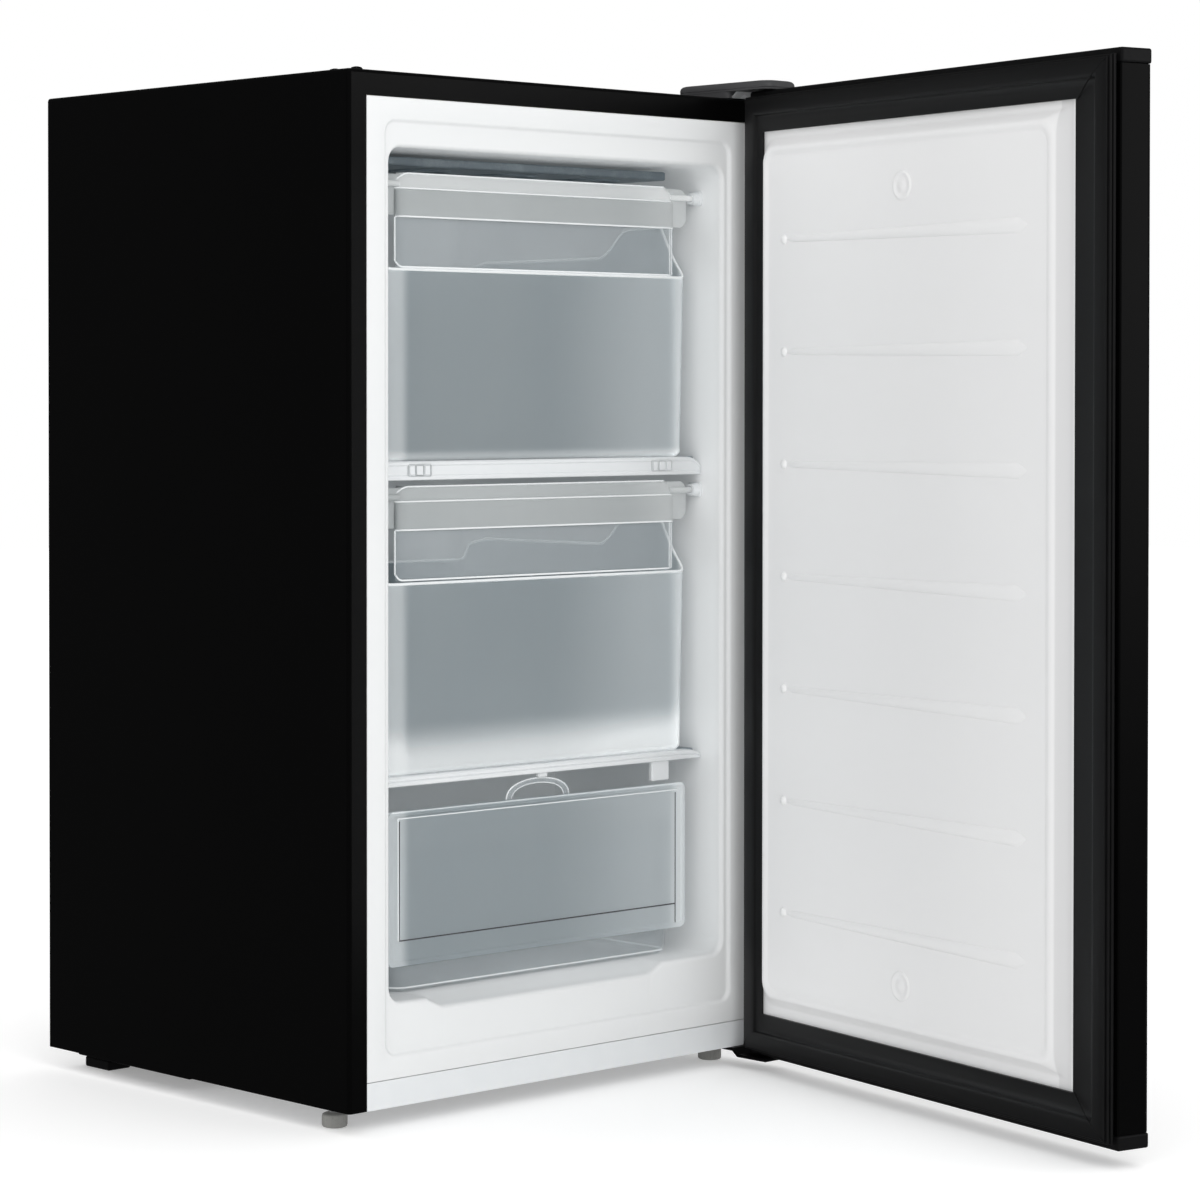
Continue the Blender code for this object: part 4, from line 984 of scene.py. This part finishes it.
def make_sockets():
    """Wall sockets that take the flap pins: a thin plate on the wall and a round boss."""
    for name in ("upper_left", "upper_right", "middle_left", "middle_right"):
        low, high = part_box(f"flap_bracket_{name}")
        near = -1 if low.x < MIDDLE else 1
        wall, inner = sorted((low.x - MIDDLE, high.x - MIDDLE), key=abs, reverse=True)
        y0, y1 = low.y - FRONT, high.y - FRONT
        z = (low.z + high.z) / 2
        plate = []
        for inset, x in ((0.0, wall), (0.0, wall - near * 0.0012), (0.0006, wall - near * 0.0018)):
            outline = rounded(y0 + inset, y1 - inset, low.z + inset, high.z - inset, 0.0030, 4)
            plate.append([(x, py, pz) for py, pz in outline])
        boss = []
        for radius, x in (
            (0.0062, wall - near * 0.0012), (0.0056, wall - near * 0.0030), (0.0050, inner),
            (0.0044, inner + near * 0.0002), (0.0030, inner + near * 0.0003),
            (0.0027, inner + near * 0.0020),
        ):
            boss.append([(x, PIN_BACK + radius * c, z + radius * s) for c, s in circle(24)])
        piece(f"flap_socket_{name}", joined(loft(plate, True, True), loft(boss, True, True)), TRIM,
              "cabinet", (f"flap_bracket_{name}",), 40.0)


# ---------------------------------------------------------------- baskets


BASKET_HALF = 0.171
BASKET_FRONT = 0.0302
BASKET_BACK = 0.3245
BASKET_CORNER = 0.012
BASKET_RISE = 0.0445
BASKET_LEAN = 0.0053
BASKET_MARKS = (
    0.014, 0.018, 0.022, 0.026, 0.030, 0.034, 0.042, 0.056, 0.070, 0.078, 0.084, 0.090, 0.096,
    0.102, 0.108, 0.114, 0.14, 0.18, 0.22, 0.26,
)


def plan(half, front, back, r, side_marks=(), steps=6):
    """A basket's outline from above, front edge first, with extra points along each side."""

    def corner(x, y, start, first, last):
        turns = [math.radians(start + 90 * k / steps) for k in range(first, last)]
        return [(x + r * math.cos(turn), y + r * math.sin(turn)) for turn in turns]

    ring = [(-half + r + (2 * half - 2 * r) * k / 8, front) for k in range(9)]
    ring += corner(half - r, front + r, -90, 1, steps + 1)
    ring += [(half, y) for y in side_marks]
    ring += corner(half - r, back - r, 0, 0, steps + 1)
    ring += [(half - r - (2 * half - 2 * r) * k / 8, back) for k in range(1, 8)]
    ring += corner(-half + r, back - r, 90, 0, steps + 1)
    ring += [(-half, y) for y in reversed(side_marks)]
    return ring + corner(-half + r, front + r, 180, 0, steps)


def rim_height(y, rim):
    """The side rims rise at the front corners and sweep down again half way along the side."""
    up = min(max((y - BASKET_FRONT) / 0.034, 0.0), 1.0) ** 1.5
    sweep = smooth_step((y - BASKET_FRONT - 0.074) / 0.036)
    down = smooth_step((BASKET_BACK - 0.004 - y) / 0.012)
    return rim + BASKET_RISE * min(up, down) * (1 - 0.55 * sweep)


def make_basket(name, bottom, rim, body, finish):
    """Deep frosted basket with a low front, sides that sweep up and a rolled rim."""
    half, front, back, r = BASKET_HALF, BASKET_FRONT, BASKET_BACK, BASKET_CORNER
    marks = tuple(front + d for d in BASKET_MARKS)
    top = rim + BASKET_RISE
    rings = []
    for inset, tighter, lift in ((0.006, 0.005, 0.0002), (0.0022, 0.002, 0.0012)):
        foot = plan(half - inset, front + inset, back - inset, r - tighter, marks)
        rings.append(level(bottom + lift, foot))
    for share in (0.0, 0.02, 0.05, 0.12, 0.3, 0.5, 0.7, 0.85, 0.94, 0.985, 1.0):
        ring = []
        for x, y in plan(half, front, back, r, marks):
            z = bottom + 0.004 + (rim_height(y, rim) - bottom - 0.004) * share
            lean = (z - bottom) / (top - bottom) * BASKET_LEAN
            ring.append((x + math.copysign(lean * min(abs(x) / 0.15, 1.0), x), y, z))
        rings.append(ring)
    shell = piece(f"{name}_basket", loft(rings, True), finish, body,
                  (f"basket_{name}",), 50.0)
    thicken(shell, 0.0018)
    # The rim tube carries a painted highlight along the rolled edge.
    edge = [(x, y, z + 0.0002) for x, y, z in rings[-1]]
    piece(f"{name}_basket_rim", tube(edge, 0.0013, 8, True), PAINTED_EDGE_GLOW, body)


def make_drawer():
    """Clear tray with a hand arch at the front, behind a frosted plate with plain lines."""
    body = "lower_drawer"
    front, back, r = 0.0340, 0.2022, 0.014
    marks = tuple(front + d for d in (0.02, 0.05, 0.08, 0.11, 0.14))
    rings = []
    for inset, z in ((0.010, 0.1012), (0.005, 0.1016), (0.0015, 0.1040), (0.0, 0.1080), (0.0, 0.150),
                     (0.0, 0.205), (0.0, 0.2142)):
        half = 0.158 + 0.0075 * (z - 0.101) / 0.113
        rings.append(level(z, plan(half - inset, front + inset, back - inset, r - inset * 0.8, marks)))
    tray = piece("drawer_tray", loft(rings, True), CLEAR, body, ("basket_lower",), 50.0)
    thicken(tray, 0.0020)
    piece("drawer_tray_rim", tube(rings[-1], 0.0010, 8, True), CLEAR, body)
    # A thin tube at the tray's foot carries a painted highlight.
    piece("drawer_tray_foot", tube(rings[2], 0.0008, 6, True), PAINTED_EDGE_GLOW, body)
    make_hand_arch(body)
    low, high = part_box("basket_lower_front")
    half, y = (high.x - low.x) / 2, low.y - FRONT
    rings = []
    for inset, deep in ((0.0, 0.0038), (0.0, 0.0010), (0.0003, 0.0003), (0.0010, 0.0), (0.0034, 0.0),
                        (0.0042, 0.0004), (0.0046, 0.0010), (0.0052, 0.0012), (0.0064, 0.0012)):
        outline = rounded(-half + inset, half - inset, low.z + inset, high.z - inset, 0.0055 - inset * 0.6)
        rings.append(upright(y + deep, outline))
    piece("drawer_plate", loft(rings, True, True), FROSTED_LOWER, body,
          ("basket_lower_front",))
    make_plate_lines(body, half, y, low.z, high.z)


def make_hand_arch(body):
    """A clear arched grip standing above the middle of the drawer's front."""
    foot, y = 0.2470, 0.0342
    outer, inner = [], []
    for k in range(17):
        angle = math.radians(180 * k / 16)
        swell = math.sin(angle) ** 0.8 if 0 < k < 16 else 0.0
        outer.append((-0.0360 * math.cos(angle), y, foot + 0.0170 * swell))
        inner.append((-0.0300 * math.cos(angle), y, foot + 0.0132 * swell))
    hand = piece("drawer_hand_arch", sheet([outer, inner]), CLEAR, body, (), 50.0)
    thicken(hand, 0.0020)
    # The arch's edges carry a painted highlight.
    piece("drawer_hand_arch_edge", joined(tube(outer, 0.0007, 6), tube(inner, 0.0005, 6)), PAINTED_EDGE_GLOW, body)


def make_plate_lines(body, half, y, z0, z1):
    """The plate's doubled top edge and left edge with a painted highlight, and dark grey tubes that paint
    the shade in its sunk lines.
    """
    foot = z0 + 0.0208
    top = upright(y + 0.0008, ((-half + 0.004, z1 - 0.0009), (half - 0.004, z1 - 0.0009)))
    second = upright(y + 0.0010, ((-half + 0.011, z1 - 0.0060), (half - 0.011, z1 - 0.0060)))
    left = upright(y + 0.0010, ((-half + 0.0110, z1 - 0.0060), (-half + 0.0110, foot)))
    edges = joined(tube(top, 0.0008, 6), tube(second, 0.0005, 6), tube(left, 0.0005, 6))
    piece("drawer_plate_edges", edges, PAINTED_EDGE_GLOW, body)
    # Painted shade: dark grey tubes stand in for the shade in the plate's sunk lines.
    line = ((-half + 0.0125, z1 - 0.0080), (-half + 0.0125, foot), (half - 0.0115, foot))
    right = ((half - 0.0115, z1 - 0.0080), (half - 0.0115, z0 + 0.0030))
    lines = joined(tube(upright(y + 0.0011, line), 0.00055, 6), tube(upright(y + 0.0011, right), 0.0005, 6))
    piece("drawer_plate_lines", lines, COVER, body)


# ---------------------------------------------------------------- door


PANEL_BASE = -0.0107
PANEL_LOW = 0.068
PANEL_HIGH = 0.797
PANEL_FREE = -0.1725
PANEL_HINGE = 0.208
FIELD = PANEL_BASE + 0.0068
SEAL_BASE = -0.0089
SEAL_RISE = 0.0083
SEAL_INNER = (-0.1930, 0.2145, 0.0515, 0.8100)

# From the edge to the field: shift of the free side, hinge side, foot and top, then rise and corner.
PANEL_SHAPE = (
    (-0.0350, 0.0180, 0.0300, 0.0340, 0.0000, 0.006),
    (-0.0350, 0.0180, 0.0300, 0.0340, 0.0015, 0.006),
    (-0.0180, 0.0046, 0.0085, 0.0080, 0.0015, 0.010),
    (-0.0155, 0.0040, 0.0070, 0.0066, 0.0017, 0.011),
    (-0.0120, 0.0034, 0.0055, 0.0054, 0.0026, 0.012),
    (-0.0060, 0.0024, 0.0030, 0.0030, 0.0050, 0.013),
    (-0.0015, 0.0010, 0.0008, 0.0006, 0.0070, 0.014),
    (0.0006, 0.0000, -0.0004, -0.0006, 0.0080, 0.014),
    (0.0026, -0.0012, -0.0016, -0.0020, 0.0085, 0.014),
    (0.0052, -0.0030, -0.0034, -0.0040, 0.0085, 0.013),
    (0.0072, -0.0046, -0.0050, -0.0058, 0.0080, 0.012),
    (0.0092, -0.0062, -0.0068, -0.0074, 0.0071, 0.011),
    (0.0112, -0.0080, -0.0086, -0.0092, 0.0068, 0.010),
)
# The seal's outer wall: inset from the door's edge, and rise.
SEAL_SECTION = (
    (0.0030, 0.0), (0.0028, 0.0012), (0.0033, 0.0022), (0.0050, 0.0027), (0.0052, 0.0031),
    (0.0036, 0.0036), (0.0033, 0.0046), (0.0040, 0.0054), (0.0066, 0.0059), (0.0068, 0.0063),
    (0.0052, 0.0068), (0.0060, 0.0076), (0.0085, 0.0081), (0.0110, SEAL_RISE), (0.0160, SEAL_RISE),
    (0.0180, 0.0080), (0.0196, 0.0070), (0.0204, 0.0052), (0.0220, 0.0040), (0.0260, 0.0030),
)


def make_door_panel():
    """Pressed inner panel: flat border, sloped flank, crowned bead and a flat field."""
    rings = []
    for free, hinge, below, above, rise, r in PANEL_SHAPE:
        outline = rounded(PANEL_FREE + free, PANEL_HINGE + hinge, PANEL_LOW - below,
                          PANEL_HIGH + above, r, 8)
        rings.append(upright(PANEL_BASE + rise, outline))
    piece("door_panel", loft(rings, True, True), PANEL, "door", ("door_liner",), 40.0)


def make_ribs():
    """Seven long ribs, each a shallow wedge that dies out at both ends, with a pip at the hinge end."""
    start, long = 0.179, 0.321
    for index in range(7):
        z = 0.7165 - 0.0954 * index
        rows = []
        for k in range(25):
            t = k / 24
            swell = math.sqrt(max(1 - max((t - 0.975) / 0.025, 0.0) ** 2, 0.0))
            swell *= math.sqrt(max(1 - max((0.02 - t) / 0.02, 0.0) ** 2, 0.0))
            width = (0.0026 + 0.0040 * t) * swell + 0.0001
            high = (0.0011 + 0.0012 * (1 - abs(2 * t - 1)) * 0.5) * swell
            row = []
            for s in range(9):
                a = math.pi * s / 8
                row.append((start - long * t, FIELD - 0.0002 + high * math.sin(a), z - width * math.cos(a)))
            rows.append(row)
        pip = []
        for radius, rise in ((0.0042, -0.0002), (0.0036, 0.0010), (0.0022, 0.0019), (0.0008, 0.0022)):
            outline = [(start + radius * c, z + radius * s) for c, s in circle(16)]
            pip.append(upright(FIELD + rise, outline))
        piece(f"door_panel_rib_{index + 1}", joined(sheet(rows), loft(pip, False, True)), PANEL, "door",
              (), 60.0)


def make_bosses():
    """Two plain round bosses, one near each end of the panel."""
    for tag, z in (("upper", 0.7545), ("lower", 0.1035)):
        rings = []
        for radius, rise in ((0.0125, -0.0002), (0.0118, 0.0006), (0.0106, 0.0010), (0.0094, 0.0008),
                             (0.0086, 0.0004), (0.0050, 0.0003), (0.0038, 0.0008), (0.0020, 0.0010)):
            outline = [(0.0175 + radius * c, z + radius * s) for c, s in circle(32)]
            rings.append(upright(FIELD + rise, outline))
        piece(f"door_panel_boss_{tag}", loft(rings, False, True), PANEL, "door",
              (), 50.0)


def frame_ring(x0, x1, z0, z1, y):
    """A square-cornered ring, for mitred corners."""
    return upright(y, ((x0, z0), (x1, z0), (x1, z1), (x0, z1)))


def make_seal():
    """Magnetic bellows seal, mitred at its corners, with two folds on its outer wall."""
    low, high = DOOR_LOW + 0.002, DOOR_HIGH - 0.002
    rings = []
    for inset, rise in SEAL_SECTION:
        rings.append(frame_ring(-DOOR_HALF + inset, DOOR_HALF - inset, low + inset, high - inset,
                                SEAL_BASE + rise))
    for rise in (0.0028, 0.0020, 0.0008, 0.0):
        rings.append(frame_ring(*SEAL_INNER, SEAL_BASE + rise))
    piece("door_seal", loft(rings, closed=True), RUBBER, "door", ("door_gasket",), 25.0)
    sides = ((-DOOR_HALF + 0.006, -0.1940), (DOOR_HALF - 0.006, 0.2155))
    ends = ((high - 0.006, 0.8090), (low + 0.006, 0.0525))
    corners = [(x, z) for z in ends for x in sides]
    for index, ((x0, x1), (z0, z1)) in enumerate(corners, 1):
        path = []
        for k in range(9):
            t = k / 8
            rise = SEAL_RISE if t < 0.45 else SEAL_RISE - (t - 0.45) * 0.0096
            path.append((x0 + (x1 - x0) * t, SEAL_BASE + rise - 0.0003, z0 + (z1 - z0) * t))
        piece(f"seal_weld_{index}", tube(path, 0.0005, 6), RUBBER, "door")


# ---------------------------------------------------------------- feet


FLUTES = 24
STUD_TURNS = 9
STUD_LOW = 0.0105
STUD_R = 0.0035


def make_feet():
    """Fluted levelling feet on threaded studs."""
    for side in ("left", "right"):
        low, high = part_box(f"foot_front_{side}")
        x, y = (low.x + high.x) / 2 - MIDDLE, (low.y + high.y) / 2 - FRONT
        r = (high.x - low.x) / 2
        rings = []
        for share, z in ((0.80, 0.0), (0.93, 0.0006), (0.985, 0.0018), (0.985, 0.0088), (0.94, 0.0102),
                         (0.80, 0.0110), (0.45, 0.0112), (0.42, 0.0116)):
            ring = []
            for k in range(FLUTES * 4):
                a = 2 * math.pi * k / (FLUTES * 4)
                flute = 0.0004 * (1 - abs(math.sin(FLUTES / 2 * a))) if 0.001 < z < 0.0095 else 0.0
                reach = r * share - flute
                ring.append((x + reach * math.cos(a), y + reach * math.sin(a), z))
            rings.append(ring)
        piece(f"foot_{side}_knob", loft(rings, True, True), FOOT, f"{side}_foot",
              (f"foot_front_{side}",), 50.0)
        rings = []
        for k in range(STUD_TURNS * 8 + 1):
            z = STUD_LOW + (high.z - 0.0107) * k / (STUD_TURNS * 8)
            reach = STUD_R + 0.0004 * (0.5 - 0.5 * math.cos(2 * math.pi * k / 8))
            rings.append([(x + reach * c, y + reach * s, z) for c, s in circle(20)])
        piece(f"foot_{side}_stud", loft(rings, False, True), ZINC, f"{side}_foot", (), 60.0)


# ---------------------------------------------------------------- rear and hinge cover


SCREW_R = 0.0033


def screw_head(x, y, z, r):
    """A domed cross-slot screw head that looks to the rear."""
    out, side = Vector((0.0, 1.0, 0.0)), Vector((1.0, 0.0, 0.0))
    up = out.cross(side)
    rings = []
    for radius, high in ((1.0, 0.0), (0.98, 0.20), (0.80, 0.38), (0.50, 0.48), (0.34, 0.50), (0.30, 0.22)):
        ring = []
        for k in range(20):
            a = 2 * math.pi * k / 20
            pinch = 1.0 if radius > 0.4 else 0.72 + 0.28 * abs(math.cos(2 * a))
            spot = side * (math.cos(a) * radius * pinch * r) + up * (math.sin(a) * radius * pinch * r)
            ring.append(Vector((x, y, z)) + spot + out * (high * r))
        rings.append(ring)
    return loft(rings, True, True)


def swage(x0, x1, z0, z1, y, high, r):
    """A long pressed rib with sloped sides, standing out of the rear sheet."""
    rings = []
    for inset, rise in ((0.0, -0.0001), (0.0010, high * 0.3), (0.0026, high * 0.85), (0.0040, high)):
        rings.append(upright(y + rise, rounded(x0 + inset, x1 - inset, z0 + inset, z1 - inset, r - inset)))
    return loft(rings, False, True)


def make_back():
    """Pressed ribs, screws and a plain data plate on the rear sheet."""
    low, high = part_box("back_panel")
    half = (high.x - low.x) / 2
    y, z0, z1 = high.y - FRONT, low.z, high.z
    parts = []
    for k in range(4):
        z = z0 + 0.085 + (z1 - z0 - 0.170) * k / 3
        parts.append(swage(-half + 0.040, half - 0.040, z - 0.014, z + 0.014, y, 0.0018, 0.0139))
    for side in (-1, 1):
        x0, x1 = sorted((side * (half - 0.012), side * (half - 0.024)))
        parts.append(swage(x0, x1, z0 + 0.030, z1 - 0.030, y, 0.0016, 0.0058))
    piece("back_panel_ribs", joined(*parts), ZINC, "cabinet", (), 30.0)
    heads = []
    for side in (-1, 1):
        for k in range(4):
            z = z0 + 0.012 + (z1 - z0 - 0.024) * k / 3
            heads.append(screw_head(side * (half - 0.006), y, z, SCREW_R))
    for x in (-0.12, 0.0, 0.12):
        heads += [screw_head(x, y, z, SCREW_R) for z in (z0 + 0.008, z1 - 0.008)]
    piece("back_panel_screws", joined(*heads), SCREW, "cabinet", (), 40.0)
    plate = rounded(0.070, 0.150, z0 + 0.120, z0 + 0.168, 0.003, 4)
    piece("data_plate", loft([upright(y, plate), upright(y + 0.0004, plate)], False, True), TRIM,
          "cabinet")


def make_compressor_details():
    """The compressor's process tube, and three wires from its terminal cover to the thermostat."""
    low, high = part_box("compressor_body")
    x0 = low.x - MIDDLE
    cy, deep = (low.y + high.y) / 2 - FRONT, (high.y - low.y) / 2
    stub = [
        (x0 + 0.020, cy + deep * 0.80, low.z + 0.060),
        (x0 + 0.020, cy + deep + 0.004, low.z + 0.066),
        (x0 + 0.012, cy + deep + 0.006, low.z + 0.104),
    ]
    piece("process_tube", tube(soften(stub, 0.012), 0.0030, 12), COPPER, "cabinet")
    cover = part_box("compressor_terminal_cover")[1]
    start = (cover.x - MIDDLE - 0.006, cover.y - FRONT - 0.004, cover.z - 0.010)
    box_low, box_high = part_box("thermostat_housing")
    end = (box_low.x - MIDDLE + 0.004, box_high.y - FRONT - 0.014, box_low.z + 0.010)
    for index, (sag, coat) in enumerate(((0.030, RUBBER), (0.038, RUBBER), (0.046, FOOT))):
        wire = []
        for k in range(21):
            t = k / 20
            x, y, z = (a + (b - a) * t for a, b in zip(start, end))
            wire.append((x, y + index * 0.003, z - sag * 4 * t * (1 - t)))
        piece(f"control_wire_{index + 1}", tube(wire, 0.0016, 8), coat, "cabinet")


def make_hinge_cover():
    """Moulded cover with rounded edges, a sunk top and a parting line, over a skirt at the rear."""
    low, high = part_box("hinge_cover")
    x0, x1 = low.x - MIDDLE, high.x - MIDDLE
    y0, y1 = low.y - FRONT, high.y - FRONT
    cap = []
    for inset, z in (
        (0.0, DOOR_HIGH + 0.0008), (0.0, DOOR_HIGH + 0.0020), (0.0004, DOOR_HIGH + 0.0024),
        (0.0, DOOR_HIGH + 0.0028), (0.0, high.z - 0.0036), (0.0006, high.z - 0.0020),
        (0.0018, high.z - 0.0007), (0.0036, high.z - 0.0001), (0.0060, high.z), (0.0072, high.z),
        (0.0080, high.z - 0.0005), (0.0100, high.z - 0.0005),
    ):
        r = max(0.0125 - inset * 0.5, 0.002)
        cap.append(level(z, rounded(x0 + inset, x1 - inset, y0 + inset, y1 - inset, r, 7)))
    outline = rounded(x0 + 0.0003, x1 - 0.0003, 0.0012, y1 - 0.0003, 0.0040, 7)
    skirt = [level(z, outline) for z in (low.z, DOOR_HIGH + 0.0010)]
    piece("hinge_cover_shell", joined(loft(cap, True, True), loft(skirt, True, True)), COVER, "cabinet",
          ("hinge_cover",), 30.0)


make_liner()
make_cold_plates()
make_trims()
make_flap("upper", UPPER_FLAP_TOP, "upper_flap", BAND_UPPER)
make_flap("middle", MIDDLE_FLAP_TOP, "middle_flap", BAND)
make_sockets()
make_basket("upper", UPPER_BASKET_FOOT, UPPER_BASKET_RIM, "upper_basket", FROSTED_UPPER)
make_basket("middle", MIDDLE_BASKET_FOOT, MIDDLE_BASKET_RIM, "middle_basket", FROSTED_MIDDLE)
make_drawer()
make_door_panel()
make_ribs()
make_bosses()
make_seal()
make_feet()
make_back()
make_compressor_details()
make_hinge_cover()


# ---------------------------------------------------------------- studio


FLOOR_HALF = 9
GLOSSY_DIM = -0.92
LENS = 107.30
SHIFT = (0.0920, -0.1211)
CAMERA_SPOT = (-2.0512, -2.1411, 0.586)
CAMERA_YAW = math.radians(42.548)
CAMERA_PITCH = math.radians(-0.986)
LIGHT_AIM = (0.0, 0.0, 0.45)


def make_floor():
    """White ground that catches the shadow."""
    mesh = bpy.data.meshes.new("studio_floor")
    corners = ((-1, -1), (1, -1), (1, 1), (-1, 1))
    mesh.from_pydata([(FLOOR_HALF * x, FLOOR_HALF * y, 0) for x, y in corners], [], [(0, 1, 2, 3)])
    floor = placed("studio_floor", mesh)
    f = Finish("studio_white")
    drift = f.noise(0.6, 2.0)
    mesh.materials.append(
        f.shade(
            base_color=f.blend(drift, (0.86, 0.86, 0.86), (0.88, 0.88, 0.88)),
            roughness=0.9,
            specular_ior_level=0.0,
            emission_color=(1.0, 1.0, 1.0, 1.0),
            emission_strength=0.28,
        )
    )
    floor.visible_glossy = False


def soft_light(name, spot, size, power):
    """A wide soft lamp aimed at the middle of the freezer."""
    data = bpy.data.lights.new(name, "AREA")
    data.shape = "RECTANGLE"
    data.size, data.size_y = size
    data.energy = power
    lamp = placed(name, data)
    lamp.location = spot
    lamp.rotation_euler = (Vector(LIGHT_AIM) - Vector(spot)).to_track_quat("-Z", "Y").to_euler()


def make_sky():
    """Even white surroundings that light softly and leave glossy black paint dark."""
    world = bpy.data.worlds.new("studio")
    bpy.context.scene.world = world
    world.use_nodes = True
    tree = world.node_tree
    sky = next(n for n in tree.nodes if n.type == "BACKGROUND")
    sky.inputs["Color"].default_value = (1.0, 1.0, 1.0, 1.0)
    path = tree.nodes.new("ShaderNodeLightPath")
    dim = tree.nodes.new("ShaderNodeMath")
    dim.operation = "MULTIPLY_ADD"
    dim.inputs[1].default_value = GLOSSY_DIM
    dim.inputs[2].default_value = 1.0
    tree.links.new(path.outputs["Is Glossy Ray"], dim.inputs[0])
    tree.links.new(dim.outputs[0], sky.inputs["Strength"])


def make_camera():
    """A long lens from the front left, a little over half the freezer's height."""
    data = bpy.data.cameras.new("camera")
    data.sensor_width = 36.0
    data.lens = LENS
    data.shift_x, data.shift_y = SHIFT
    camera = placed("camera", data)
    camera.location = (CAMERA_SPOT[0] + MIDDLE, CAMERA_SPOT[1] + FRONT, CAMERA_SPOT[2])
    flat = math.cos(CAMERA_PITCH)
    aim = Vector((math.sin(CAMERA_YAW) * flat, math.cos(CAMERA_YAW) * flat, math.sin(CAMERA_PITCH)))
    camera.rotation_euler = aim.to_track_quat("-Z", "Y").to_euler()
    bpy.context.scene.camera = camera


make_floor()
make_sky()
soft_light("key", (-1.2, -2.6, 2.3), (1.6, 1.6), 16.0)
soft_light("fill", (1.9, -2.4, 1.1), (1.2, 1.6), 6.0)
make_camera()
bpy.context.scene.view_settings.view_transform = "Standard"

bpy.context.view_layer.update()
